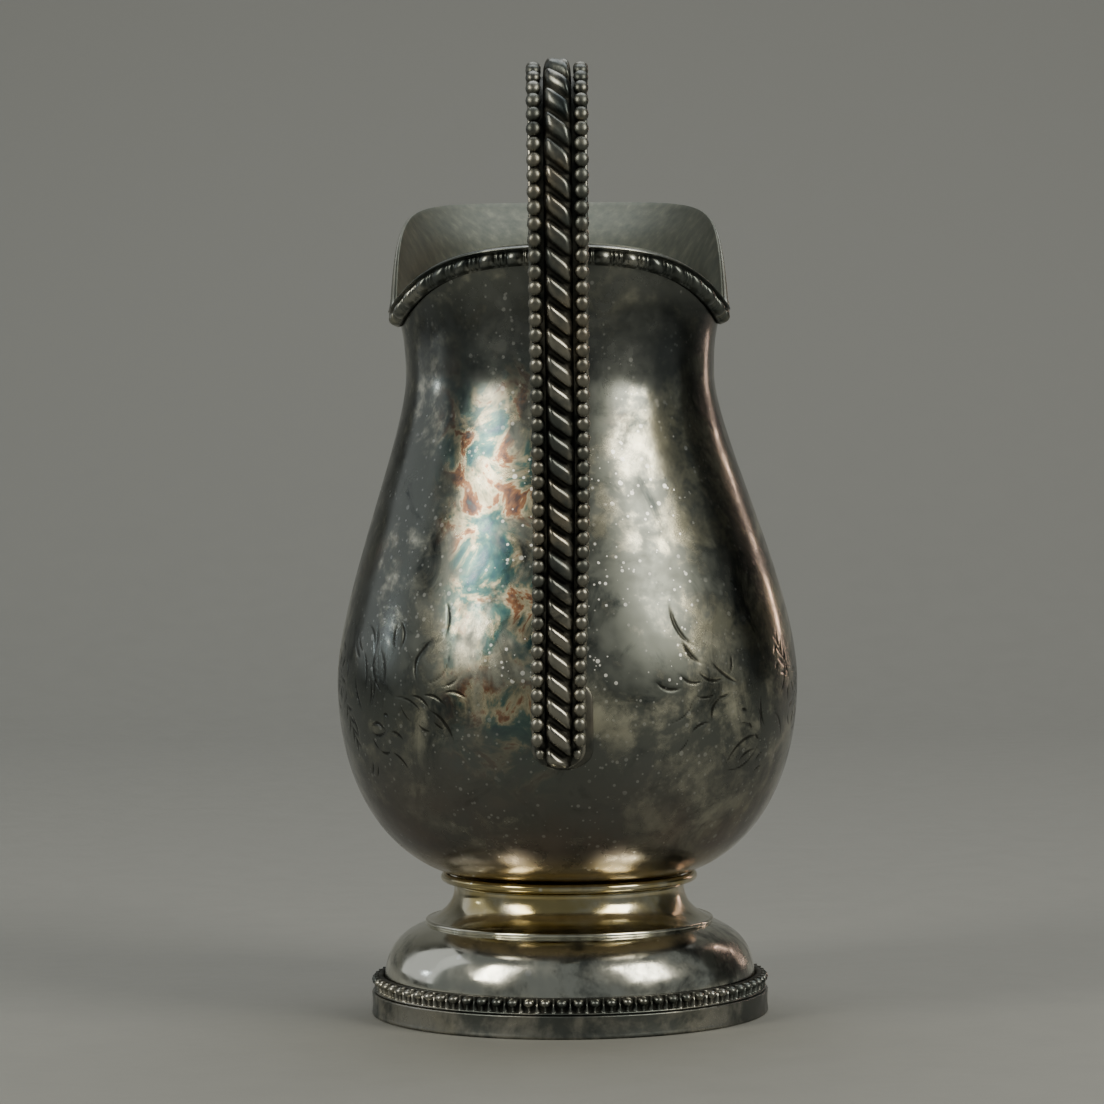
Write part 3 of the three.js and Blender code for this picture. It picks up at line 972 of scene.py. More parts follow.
@dataclass
class Foot:
    """The domed foot, its band, its border wire and the wire at its waist.

    Attributes:
        height: Height of the foot above the table.
        base_radius: Radius of the band.
        band_height: Height of the plain band.
        band_thickness: Thickness of the band's sheet.
        beading_height: Height of the border wire.
        beading_depth: Depth of the border wire.
        dome_height: Height of the dome's top.
        step_radius: Radius of the step on the dome.
        step_height: Height of that step.
        neck_radius: Radius of the neck under the vessel.
        flange_radius: Inner radius of the top flange.
        sheet: Thickness of the silver sheet.
        gap: Gap that soldered pieces keep.
        waist_wire: Radius of the wire at the waist.
        waist_radius: Radius of the waist wire's ring.
        waist_lift: How far that ring is pressed up against the bowl.
        worn_edge: Radius of the band's worn lower edge.
        upper_edge: Radius of its upper edge.
        bead_radius: Radius of a bead on the border wire.
        dart: Width and depth of a dart under a joint.
        relief: Share of the border wire's depth that its relief takes up.
        beads: Number of beads round the border wire.
        bead_sections: Sections for each bead.
        sides: Sections round the foot.
    """

    height: float = 22.9
    base_radius: float = 34.3
    band_height: float = 3.9
    band_thickness: float = 2.1
    beading_height: float = 2.7
    beading_depth: float = 1.9
    dome_height: float = 15.6
    step_radius: float = 24.6
    step_height: float = 0.7
    neck_radius: float = 19.9
    flange_radius: float = 14.0
    sheet: float = 1.0
    gap: float = 0.3
    waist_wire: float = 0.8
    waist_radius: float = 21.4
    waist_lift: float = 0.3
    worn_edge: float = 0.4
    upper_edge: float = 0.25
    bead_radius: float = 0.72
    dart: float = 0.62
    relief: float = 0.62
    beads: int = 76
    bead_sections: int = 22
    sides: int = 288

    @property
    def dome_radius(self) -> float:
        """Radius of the dome's lower edge."""
        return self.base_radius - self.beading_depth - self.gap

    @property
    def dome_foot(self) -> float:
        """Height of the dome's lower edge."""
        return self.band_height + self.gap

    def lathe(self, name: str, outline: Array) -> bpy.types.Object:
        """Spin a closed outline round the jug's axis.

        Args:
            name: Name of the piece.
            outline: Rows of (radius, height), without the first point repeated.

        Returns:
            The new piece.
        """
        turn = np.arange(self.sides) * FULL_TURN / self.sides
        ring = around_axis(outline[:, :1], outline[:, 1:], turn)
        piece = grid_mesh(name, np.concatenate([ring, ring[:1]]))
        turn_outward(piece, weld=True)
        return piece

    def shell_outline(self) -> Array:
        """Draw the foot shell's closed outline: neck, step, dome and lining.

        Returns:
            Rows of (radius, height).
        """
        top, step_top = self.height - self.sheet, self.dome_height + self.step_height
        edge = self.step_radius
        low, high, wide = self.dome_foot, self.dome_height, self.dome_radius
        neck = [
            (self.neck_radius, top),
            (self.neck_radius, lerp(top, step_top, 0.45)),
            (lerp(self.neck_radius, edge, 0.3), lerp(top, step_top, 0.8)),
            (edge - 0.35, step_top + 0.02),
        ]
        fillet = arc(edge - 0.06, high + 0.36, 0.42, np.linspace(math.radians(120), math.radians(-75), 14))
        dome = [
            (edge + 0.28, high - 0.06),
            (lerp(edge, wide, 0.65), lerp(low, high, 0.84)),
            (wide, lerp(low, high, 0.62)),
            (wide, low + 0.9),
        ]
        hem = [(wide + 0.12, low + 0.5), (wide + 0.05, low)]
        outside = np.vstack([bezier(neck, 40), fillet, bezier(dome, 90), hem])
        flange = np.array([(self.neck_radius, self.height), (self.flange_radius, self.height)])
        under = self.height - 1.6 * self.sheet
        lining = outside[::-4] - np.array([self.sheet, 0.0])
        lining[:, 1] = np.minimum(lining[:, 1], under)
        return np.vstack([flange[::-1], outside, lining, [(self.flange_radius, under)]])

    def build_shell(self) -> bpy.types.Object:
        """Make the domed shell."""
        return self.lathe("foot_shell_spun", self.shell_outline())

    def build_band(self) -> bpy.types.Object:
        """Make the plain band with softly worn edges.

        Returns:
            The new piece.
        """
        top, low, high = self.band_height, self.worn_edge, self.upper_edge
        inner, ledge = self.base_radius - self.band_thickness, self.dome_radius - 2 * self.sheet
        foot_edge = arc(self.base_radius - low, low, low, np.linspace(-QUARTER_TURN, 0, 7))
        face = np.linspace(low, top - high, 14)[1:]
        bowed = np.stack([self.base_radius - 0.12 * np.sin(math.pi * (face / top)), face], axis=-1)
        shoulder = arc(self.base_radius - high, top - high, high, np.linspace(0, QUARTER_TURN, 5)[1:])
        inside = [(ledge, top), (ledge, top - self.sheet), (inner, top - self.sheet), (inner, 0.0)]
        return self.lathe("foot_band_worn", np.vstack([foot_edge, bowed, shoulder, inside]))

    def build_waist(self) -> bpy.types.Object:
        """Make the round wire at the waist.

        Returns:
            The new piece.
        """
        roll = np.arange(28) * FULL_TURN / 28
        middle = self.height + self.gap + self.waist_lift
        return self.lathe("waist_wire", arc(self.waist_radius, middle, self.waist_wire, roll))

    def bead_and_dart(self, side: Array, tall: Array, pitch: float) -> Array:
        """Model the border wire's face: a bead above, a dart under each joint and a fillet below.

        Args:
            side: Distances along the wire from the nearest bead's middle, as a row.
            tall: Heights above the wire's lower edge, as a column.
            pitch: Length from one bead to the next.

        Returns:
            How far each place stands out, from 0 to 1.
        """
        middle = self.beading_height - self.bead_radius - 0.05
        flat, steep = side / (self.bead_radius * 1.35), (tall - middle) / self.bead_radius
        ball = np.clip(1 - flat**2 - steep**2, 0, 1) ** 0.5
        dart_top, dart_low = middle + 0.1, 0.35
        dart_half = self.dart * np.clip((dart_top - tall) / (dart_top - dart_low), 0, 1) ** 0.8
        off_joint = pitch / 2 - np.abs(side)
        into_dart = np.clip(1 - off_joint / np.maximum(dart_half, 1e-3), 0, 1)
        dart = self.dart * into_dart**0.6 * (tall > dart_low)
        stem = 0.50 * np.clip(1 - np.abs(side) / 0.30, 0, 1) ** 0.5 * (tall < middle) * (tall > 0.3)
        fillet = 0.72 * half_round(tall - 0.22, 0.26)
        return np.maximum(np.maximum(ball, fillet), np.maximum(dart, stem))

    def build_beading(self) -> bpy.types.Object:
        """Make the border wire of beads with a dart under each joint.

        Returns:
            The new piece.
        """
        steps = self.beads * self.bead_sections
        turn = np.arange(steps) * FULL_TURN / steps
        pitch = FULL_TURN / self.beads * self.base_radius
        side = ((turn / FULL_TURN * self.beads) % 1 - 0.5)[None, :] * pitch
        tall = np.linspace(0, self.beading_height, 26)[:, None]
        relief = self.bead_and_dart(side, tall, pitch)
        proud = self.beading_depth * self.relief
        low = self.dome_foot - self.gap * 0.8
        top = low + self.beading_height
        outer = around_axis(self.base_radius - proud * (1 - relief), low + tall, turn)
        back_rows = np.array([[top], [top - 1.2], [low]])
        inner = around_axis(self.base_radius - self.beading_depth, back_rows, turn)
        piece = grid_mesh("foot_bead_and_dart", np.concatenate([outer, inner, outer[:1]]))
        # Painted shade: recesses between the beads and the darts darken, and the inner face darkens fully.
        hollow_shade = [np.clip(1 - relief / 0.6, 0, 1), np.ones(inner.shape[:2]), np.zeros((1, steps))]
        store(piece, "hollow_shade", np.concatenate(hollow_shade))
        turn_outward(piece, weld=True)
        return piece


# --------------------------------------------------------------------------------------------------
# Handle
# --------------------------------------------------------------------------------------------------


@dataclass
class Handle:
    """The looped strap with its rope moulding and its two rows of beads.

    Attributes:
        shape: The vessel that it is soldered to.
        thickness: Thickness of the strap.
        width_bottom: Width of the strap at its lower end.
        width_top: Width of the strap at its crest.
        reach: Distance of the strap's middle from the axis at its outermost.
        reach_above_rim: Height of that point above the rim's back.
        crest_above_rim: Height of the crest above the rim's back.
        crest_out: Distance of the crest from the axis.
        foot_below_belly: Depth of the lower end below the belly's widest line.
        leaves_below_belly: Where the strap leaves the belly, below the same line.
        lean: Angle at which it leaves, in degrees.
        top_below_rim: How far its upper end reaches down below the rim.
        seat_thickness: Thickness of the plate at its lower end.
        rope_width: Width of the rope moulding.
        rope_rise: Height of the rope moulding.
        solder_rise: Its height at the upper end, where it is soldered to the rim.
        rope_pitch: Length of the rope from one lobe to the next.
        bead: Diameter of a bead.
        bead_swell: How much fuller than round a bead is along the strap.
        bead_spread: How much wider than round it is at the crest.
        bead_pitch: Length from one bead to the next.
        gap: Gap that soldered pieces keep.
        rim_depth: How far the rim's moulding stands out.
        aside_low: How far its lower end was soldered on to one side.
        aside_high: How far its crest leans beyond the neck.
        end: Length of its rounded lower end.
        softness: How soft its long edges are; 1 would be an ellipse.
        bead_inset: Distance of a bead's middle from the strap's edge.
        first_bead: Distance of the first full bead from the lower end.
        bead_flat: How flat a bead is.
        bead_dull: How matt the beads are.
    """

    shape: VesselShape
    thickness: float = 1.4
    width_bottom: float = 8.8
    width_top: float = 9.6
    reach: float = 60.5
    reach_above_rim: float = 1.3
    crest_above_rim: float = 25.3
    crest_out: float = 47.0
    foot_below_belly: float = 12.0
    leaves_below_belly: float = 1.0
    lean: float = 4.0
    top_below_rim: float = 4.5
    seat_thickness: float = 0.6
    rope_width: float = 4.5
    rope_rise: float = 3.2
    solder_rise: float = 4.5
    rope_pitch: float = 4.14
    bead: float = 2.25
    bead_swell: float = 1.06
    bead_spread: float = 1.08
    bead_pitch: float = 2.43
    gap: float = 0.3
    rim_depth: float = 1.8
    aside_low: float = -1.5
    aside_high: float = 0.0
    end: float = 3.4
    softness: float = 0.35
    bead_inset: float = 1.0
    first_bead: float = 5.15
    bead_flat: float = 0.92
    bead_dull: float = 0.4

    def __post_init__(self) -> None:
        """Lay out the strap's middle line as (behind, height) with its length."""
        line = self.middle_line()
        moved = np.linalg.norm(np.diff(line, axis=0), axis=1) > 1e-9
        self.line = line[np.concatenate([[True], moved])]
        self.travelled = length_along(self.line)
        self.length = float(self.travelled[-1])

    def middle_line(self) -> Array:
        """Draw the line that the strap's middle follows, from its lower end to its upper end.

        Returns:
            Rows of (distance behind the axis, height).
        """
        shape = self.shape
        rim_back = shape.neck_z + shape.back_rise
        belly_off = 2 * self.gap + 0.1 + self.seat_thickness + self.thickness / 2
        rim_off = self.rim_depth + self.rope_rise + 3 * self.gap + 0.1 + self.thickness / 2
        foot_z, leave_z = shape.belly_z - self.foot_below_belly, shape.belly_z - self.leaves_below_belly
        foot = np.array([shape.radius_at(foot_z) + belly_off, foot_z])
        leave = np.array([shape.radius_at(leave_z) + belly_off, leave_z])
        outer = np.array([self.reach, rim_back + self.reach_above_rim])
        crest = np.array([self.crest_out, rim_back + self.crest_above_rim])
        ends = np.array([1.0, 1 - self.top_below_rim / shape.back_rise])
        landing, top = shape.flare_offset(np.full(2, math.pi), ends, rim_off)[:, 1:] * np.array([-1, 1])
        upward = (landing - top) / np.linalg.norm(landing - top)
        climb, over, drop = outer[1] - leave[1], crest[1] - outer[1], crest[1] - landing[1]
        lean = math.radians(self.lean)
        leaning = np.array([math.sin(lean), math.cos(lean)])
        hug = leave[1] - foot[1]
        hugging = [foot, foot + np.array([0.09, 0.35]) * hug, leave - leaning * 0.35 * hug, leave]
        rising = [leave, leave + leaning * 0.42 * climb, (self.reach, outer[1] - 0.33 * climb), outer]
        before_crest = (lerp(self.crest_out, self.reach, 0.55), crest[1])
        turning = [outer, (self.reach, outer[1] + 0.6 * over), before_crest, crest]
        after_crest = (lerp(self.crest_out, landing[0], 0.6), crest[1])
        falling = [crest, after_crest, landing + upward * 0.5 * drop, landing]
        curves = [bezier(hugging, 200), bezier(rising, 400), bezier(turning, 300), bezier(falling, 300)]
        return np.vstack([*curves, np.linspace(landing, top, 30)])

    def on_line(self, distance: Array) -> Array:
        """Find points on the middle line.

        Args:
            distance: Distances from the strap's lower end.

        Returns:
            The points as (distance behind the axis, height).
        """
        inside = np.clip(distance, 0, self.length)
        return np.stack([np.interp(inside, self.travelled, self.line[:, i]) for i in (0, 1)], axis=-1)

    def place(self, along: Array, across: Array, out: Array) -> Array:
        """Return points by their place on the strap.

        Args:
            along: Distances from the strap's lower end.
            across: Distances to +X from the strap's middle.
            out: Distances outwards from the strap's middle.

        Returns:
            The points, in millimetres from the jug's axis.
        """
        along, across, out = np.broadcast_arrays(along, across, out)
        step = 0.6
        middle = self.on_line(along)
        run = self.on_line(along + step) - self.on_line(along - step)
        run /= np.linalg.norm(run, axis=-1, keepdims=True)
        past = along - np.clip(along, 0, self.length)
        middle = middle + run * past[..., None]
        behind = middle[..., 0] + run[..., 1] * out
        height = middle[..., 1] - run[..., 0] * out
        aside = lerp(self.aside_low, self.aside_high, smooth_step(50.0, 110.0, height))
        return np.stack([across + aside, -behind, height], axis=-1)

    def width_at(self, along: Array) -> Array:
        """Return the strap's width at a distance from its lower end."""
        return lerp(self.width_bottom, self.width_top, np.minimum(along / self.length / 0.75, 1))

    def build_strap(self) -> bpy.types.Object:
        """Make the strap with a rounded lower end and softened edges.

        Returns:
            The new piece.
        """
        near = self.end * (1 - np.cos(np.linspace(0, QUARTER_TURN, 18)))
        along = np.concatenate([near, np.linspace(self.end, self.length, 420)[1:]])[:, None]
        from_end = 1 - np.clip(along / self.end, 0, 1)
        half = self.width_at(along) / 2 * np.maximum(1 - from_end**2.2, 1e-3) ** 0.5
        turn = (np.arange(32) + 0.5)[None, :] * FULL_TURN / 32
        across = half * squared(np.sin(turn), self.softness)
        out = self.thickness / 2 * squared(np.cos(turn), self.softness) * np.ones_like(along)
        piece = grid_mesh("handle_strap_bent", self.place(along, across, out), capped=True)
        turn_outward(piece)
        # Painted shade: the strap's top face under and between the rope and the beads darkens, and its edges
        # a little.
        between = (np.abs(across) < half - 0.45) & (out > 0.1)
        store(piece, "hollow_shade", np.where(between, 0.55, 0.20 * (out > 0.1)))
        return piece

    def build_rope(self) -> bpy.types.Object:
        """Make the rope moulding: slanted lobes with deep grooves between them.

        Returns:
            The new piece.
        """
        start, stop = 0.55, self.length - 1.2
        along = np.linspace(start, stop, int((stop - start) / 0.2))[:, None]
        bend = np.linspace(-1, 1, 34)[None, :]
        bend = bend * (1.25 - 0.25 * bend**2)
        half = self.rope_width / 2
        fall = 3.4 / self.rope_width
        across = half * bend
        phase = (along + across * fall + 0.9) / self.rope_pitch
        place = ((phase % 1) - 0.5) * 2
        lobe = np.clip(1 - (np.abs(place) / 0.78) ** 2.6 - (np.abs(bend) / 0.985) ** 6, 0, 1) ** 0.5
        round_back = np.clip(1 - np.abs(bend) ** 4.0, 0, 1) ** 0.5
        taper = np.clip((along - start) / 1.3, 0, 1) ** 0.5
        carved = 0.42 * round_back + 0.50 * lobe + 0.08 * lobe * place
        rise = np.clip(self.rope_rise * carved * (0.25 + 0.75 * taper), 0.02, self.rope_rise)
        soldered = smooth_step(stop - 5.8, stop - 3.4, along)
        rise = lerp(rise, self.solder_rise * np.maximum(round_back, 0.1), soldered)
        surface = self.thickness / 2 + self.gap * 0.3
        squeeze = 0.60 + 0.40 * taper
        top = self.place(along, across * squeeze, surface + rise)
        under = self.place(along, np.array([[half * 0.85, 0.0, -half * 0.85]]), surface)
        grid = np.concatenate([top, under], axis=1)
        piece = grid_mesh("handle_rope_moulding", grid, capped=True)
        turn_outward(piece)
        # Painted shade: the grooves between the lobes darken, less at the soldered end, and the underside
        # darkens fully.
        hollow_shade = lerp(1 - np.clip(1.25 * lobe, 0, 1), 0.3, soldered)
        store(piece, "hollow_shade", np.concatenate([hollow_shade, np.ones(under.shape[:2])], axis=1))
        return piece

    def build_beads(self, side: int) -> bpy.types.Object:
        """Make one row of beads on its thin spine.

        Args:
            side: 1 for the row towards +X, -1 for the other.

        Returns:
            The new piece.
        """
        radius, first, inset = self.bead / 2, self.first_bead, self.bead_inset
        count = int((self.length - first - 1.0) / self.bead_pitch)
        beads = [(first - 0.96 * self.bead_pitch, 1.45 * inset, 0.70, 0.70)]
        beads += [(first + i * self.bead_pitch, inset, 1.0, self.bead_flat) for i in range(count)]
        work = bmesh.new()
        layer = work.verts.layers.float.new("hollow_shade")
        rings, sectors = 11, 18
        polar = np.linspace(0, math.pi, rings + 1)[1:-1]
        wide = np.sin(polar) ** 0.8
        around = np.arange(sectors) * FULL_TURN / sectors
        flat = (np.outer(wide, np.cos(around)), np.outer(wide, np.sin(around)))
        unit = np.stack([*flat, np.outer(np.cos(polar), np.ones(sectors))], axis=-1)
        for along, from_edge, scale, lift in beads:
            across = side * (float(self.width_at(np.array(along))) / 2 - from_edge)
            size = radius * scale
            out = self.thickness / 2 + self.gap + radius * lift
            fuller = lerp(1.0, self.bead_spread, min(along / self.length / 0.7, 1))
            local = unit * size * np.array([fuller, self.bead_swell, self.bead_flat])
            ring = self.place(along + local[..., 1], across + local[..., 0], out + local[..., 2])
            top = self.place(np.array(along), np.array(across), np.array(out + self.bead_flat * size))
            low = self.place(np.array(along), np.array(across), np.array(out - self.bead_flat * size))
            self.add_ball(work, layer, ring, top, low)
        spine_along = np.linspace(first - 1.2, first + (count - 0.6) * self.bead_pitch, 300)[:, None]
        turn = np.arange(10)[None, :] * FULL_TURN / 10
        spine_across = side * (self.width_at(spine_along) / 2 - inset) + 0.62 * np.sin(turn)
        spine = self.place(spine_along, spine_across, self.thickness / 2 + 0.62 + 0.55 * np.cos(turn))
        self.add_bar(work, layer, spine)
        mesh = bpy.data.meshes.new(f"handle_beads_{SIDE_NAME[side]}")
        bmesh.ops.recalc_face_normals(work, faces=work.faces)
        for face in work.faces:
            face.smooth = True
        work.to_mesh(mesh)
        work.free()
        piece = bpy.data.objects.new(mesh.name, mesh)
        store(piece, "dull", np.full(len(mesh.vertices), self.bead_dull))
        bpy.context.scene.collection.objects.link(piece)
        return piece

    def add_ball(self, work: bmesh.types.BMesh, layer: object, rings: Array, top: Array, low: Array) -> None:
        """Add one bead to a mesh under work.

        Args:
            work: The mesh.
            layer: The vertex layer that holds a point's painted shade, with dirt, from 0 to 1.
            rings: The bead's rings of points, from top to bottom.
            top: Its outermost point.
            low: Its innermost point.
        """
        count, across, _ = rings.shape
        verts = [[work.verts.new(point) for point in ring] for ring in in_scene(rings)]
        # Painted shade: each bead darkens on its half towards the strap, fully at its innermost point.
        for i, ring in enumerate(verts):
            for vert in ring:
                vert[layer] = float(np.clip((i - 0.50 * count) / (0.30 * count), 0, 1))
        tip, foot = work.verts.new(in_scene(top)), work.verts.new(in_scene(low))
        foot[layer] = 1.0
        for j in range(across):
            k = (j + 1) % across
            work.faces.new((tip, verts[0][j], verts[0][k]))
            work.faces.new((foot, verts[-1][k], verts[-1][j]))
            for i in range(count - 1):
                work.faces.new((verts[i][j], verts[i + 1][j], verts[i + 1][k], verts[i][k]))

    def add_bar(self, work: bmesh.types.BMesh, layer: object, rows: Array) -> None:
        """Add a closed bar to a mesh under work.

        Args:
            work: The mesh.
            layer: The vertex layer that holds a point's painted shade, with dirt, from 0 to 1.
            rows: The bar's sections in order.
        """
        verts = [[work.verts.new(point) for point in row] for row in in_scene(rows)]
        # Painted shade: the spine under the beads darkens fully.
        for row in verts:
            for vert in row:
                vert[layer] = 1.0
        across = len(verts[0])
        for first, second in zip(verts, verts[1:]):
            for j in range(across):
                k = (j + 1) % across
                work.faces.new((first[j], second[j], second[k], first[k]))
        work.faces.new(verts[0])
        work.faces.new(verts[-1][::-1])

    def build_seat(self) -> bpy.types.Object:
        """Make the thin plate, bent to the belly, under the strap's lower end.

        Returns:
            The new piece.
        """
        low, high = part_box("handle_lower_seat")
        foot_z, top_z = low.z / MM, high.z / MM
        half, aside = (high.x - low.x) / 2 / MM - 0.35, 0.75 + self.aside_low
        height = np.linspace(foot_z + 0.05, top_z - 0.05, 40)[:, None]
        from_end = np.minimum(height - foot_z, top_z - height)
        plan = half * (1 - np.clip(1 - from_end / 3.6, 0, 1) ** 2.2) ** 0.5
        turn = (np.arange(24) + 0.5)[None, :] * FULL_TURN / 24
        across = aside + (plan - 0.02) * squared(np.sin(turn), 0.3)
        share = 0.5 + 0.5 * squared(np.cos(turn), 0.3)
        radius = self.shape.radius_at(height) + 0.05 + (self.gap - 0.05 + self.seat_thickness) * share
        behind = np.sqrt(radius**2 - across**2)
        grid = np.stack([across, -behind, np.broadcast_to(height, across.shape)], axis=-1)
        piece = grid_mesh("handle_seat_plate", grid, capped=True)
        turn_outward(piece)
        # Painted shade: the plate under the strap's lower end is darkened by half.
        store(piece, "hollow_shade", np.full(grid.shape[:2], 0.5))
        return piece


# --------------------------------------------------------------------------------------------------
# Finishes
# --------------------------------------------------------------------------------------------------


class Bench:
    """A workbench for one material's nodes."""

    def __init__(self, name: str) -> None:
        """Start an empty material.

        Args:
            name: The material's name.
        """
        self.material = bpy.data.materials.new(name)
        self.material.use_nodes = True
        self.nodes = self.material.node_tree.nodes
        self.links = self.material.node_tree.links
        self.nodes.clear()
        self.shader = self.nodes.new("ShaderNodeBsdfPrincipled")
        output = self.nodes.new("ShaderNodeOutputMaterial")
        self.links.new(self.shader.outputs["BSDF"], output.inputs["Surface"])
        self.coords = self.nodes.new("ShaderNodeTexCoord").outputs["Object"]
        split = self.nodes.new("ShaderNodeSeparateXYZ")
        self.links.new(self.coords, split.inputs[0])
        self.x, self.y, self.z = split.outputs

    def feed(self, socket: bpy.types.NodeSocket, value: object) -> None:
        """Set a socket to a value, or link it to another socket.

        Args:
            socket: The socket.
            value: A number, a colour or another socket.
        """
        if isinstance(value, bpy.types.NodeSocket):
            self.links.new(value, socket)
        elif isinstance(value, tuple) and len(value) == 3 and socket.type == "RGBA":
            socket.default_value = (*value, 1.0)
        else:
            socket.default_value = value

    def stretched(self, stretch: Triple, turn: Triple) -> bpy.types.NodeSocket:
        """Add the object coordinates, stretched and turned.

        Args:
            stretch: Their stretch along X, Y and Z.
            turn: Their turn in radians.

        Returns:
            The result's socket.
        """
        mapping = self.nodes.new("ShaderNodeMapping")
        mapping.inputs["Scale"].default_value = stretch
        mapping.inputs["Rotation"].default_value = turn
        self.links.new(self.coords, mapping.inputs["Vector"])
        return mapping.outputs["Vector"]

    def cloud(
        self,
        size: float,
        detail: float = 4,
        coarse: float = 0.55,
        warp: float = 0.0,
        stretch: Triple = (1, 1, 1),
        turn: Triple = (0, 0, 0),
    ) -> bpy.types.NodeSocket:
        """Add cloudy noise.

        Args:
            size: Size of a cloud in millimetres.
            detail: Number of finer layers.
            coarse: How strong the finer layers are.
            warp: How far the clouds are distorted.
            stretch: Stretch of the coordinates.
            turn: Turn of the coordinates.

        Returns:
            A socket from 0 to 1.
        """
        node = self.nodes.new("ShaderNodeTexNoise")
        node.inputs["Scale"].default_value = 1 / (size * MM)
        node.inputs["Detail"].default_value = detail
        node.inputs["Roughness"].default_value = coarse
        node.inputs["Distortion"].default_value = warp
        self.links.new(self.stretched(stretch, turn), node.inputs["Vector"])
        return node.outputs["Fac"]

    def specks(self, pitch: float, radius: float, share: float, shift: float = 0.0) -> bpy.types.NodeSocket:
        """Add scattered round specks.

        Args:
            pitch: Distance between places where a speck may be, in millimetres.
            radius: A speck's radius in millimetres.
            share: Share of the places that hold a speck.
            shift: Offset of the pattern, so that two layers differ.

        Returns:
            A socket that is 1 inside a speck and 0 elsewhere.
        """
        node = self.nodes.new("ShaderNodeTexVoronoi")
        node.inputs["Scale"].default_value = 1 / (pitch * MM)
        moved = self.nodes.new("ShaderNodeMapping")
        moved.inputs["Location"].default_value = (shift, shift * 0.7, shift * 1.3)
        self.links.new(self.coords, moved.inputs["Vector"])
        self.links.new(moved.outputs["Vector"], node.inputs["Vector"])
        chance = self.nodes.new("ShaderNodeSeparateColor")
        self.links.new(node.outputs["Color"], chance.inputs[0])
        size = self.times(chance.outputs[1], radius / pitch)
        near = self.band(self.number("SUBTRACT", node.outputs["Distance"], size), 0.04, -0.04)
        chosen = self.number("LESS_THAN", chance.outputs[0], share)
        return self.times(near, chosen)

    def number(self, how: str, first: object, second: object = 0.0) -> bpy.types.NodeSocket:
        """Add a calculation.

        Args:
            how: The operation's name.
            first: A number or a socket.
            second: Another.

        Returns:
            The result's socket.
        """
        node = self.nodes.new("ShaderNodeMath")
        node.operation = how
        self.feed(node.inputs[0], first)
        self.feed(node.inputs[1], second)
        return node.outputs[0]

    def times(self, first: object, second: object) -> bpy.types.NodeSocket:
        """Add a product of two numbers or sockets."""
        return self.number("MULTIPLY", first, second)

    def beside(self, place: object, middle: float, far: float, near: float) -> bpy.types.NodeSocket:
        """Add a strip across one coordinate.

        Args:
            place: The coordinate.
            middle: The strip's middle, in metres.
            far: Distance from the middle where the strip has faded out.
            near: Distance where it is full.

        Returns:
            The result's socket, from 0 to 1.
        """
        return self.band(self.number("ABSOLUTE", self.number("SUBTRACT", place, middle)), far, near)

    def band(
        self, value: object, low: float, high: float, to_low: float = 0.0, to_high: float = 1.0
    ) -> bpy.types.NodeSocket:
        """Add a smooth rise.

        Args:
            value: The number that it follows.
            low: Value where it starts.
            high: Value where it ends; below low the rise runs the other way.
            to_low: Its level at low.
            to_high: Its level at high.

        Returns:
            The result's socket.
        """
        node = self.nodes.new("ShaderNodeMapRange")
        node.interpolation_type = "SMOOTHSTEP"
        self.feed(node.inputs["Value"], value)
        node.inputs["From Min"].default_value = low
        node.inputs["From Max"].default_value = high
        node.inputs["To Min"].default_value = to_low
        node.inputs["To Max"].default_value = to_high
        return node.outputs["Result"]

    def mix(self, share: object, first: object, second: object) -> bpy.types.NodeSocket:
        """Add a blend of two colours.

        Args:
            share: Share of the second.
            first: A colour, a number or a socket.
            second: Another.

        Returns:
            The result's socket.
        """
        node = self.nodes.new("ShaderNodeMix")
        node.data_type = "RGBA"
        self.feed(node.inputs["Factor"], share)
        self.feed(node.inputs[6], first)
        self.feed(node.inputs[7], second)
        return node.outputs[2]

    def ramp(self, value: object, stops: Sequence[tuple[float, Colour]]) -> bpy.types.NodeSocket:
        """Add a colour ramp.

        Args:
            value: The number that picks the colour.
            stops: Places from 0 to 1 with their colours.

        Returns:
            The result's socket.
        """
        node = self.nodes.new("ShaderNodeValToRGB")
        self.feed(node.inputs[0], value)
        elements = node.color_ramp.elements
        while len(elements) < len(stops):
            elements.new(0.5)
        for element, (place, colour) in zip(elements, stops):
            element.position = place
            element.color = (*colour, 1.0)
        return node.outputs["Color"]

    def kept(self, name: str) -> bpy.types.NodeSocket:
        """Read a number that a piece keeps per vertex.

        Args:
            name: The number's name.

        Returns:
            The result's socket.
        """
        node = self.nodes.new("ShaderNodeAttribute")
        node.attribute_name = name
        return node.outputs["Fac"]

    def relief(self, height: object, depth: float, under: object = None) -> bpy.types.NodeSocket:
        """Add fine relief.

        Args:
            height: The relief's height, from 0 to 1.
            depth: Its depth in millimetres.
            under: Relief that it lies on.

        Returns:
            The bent normal.
        """
        node = self.nodes.new("ShaderNodeBump")
        node.inputs["Distance"].default_value = depth * MM
        self.feed(node.inputs["Height"], height)
        if under is not None:
            self.feed(node.inputs["Normal"], under)
        return node.outputs["Normal"]


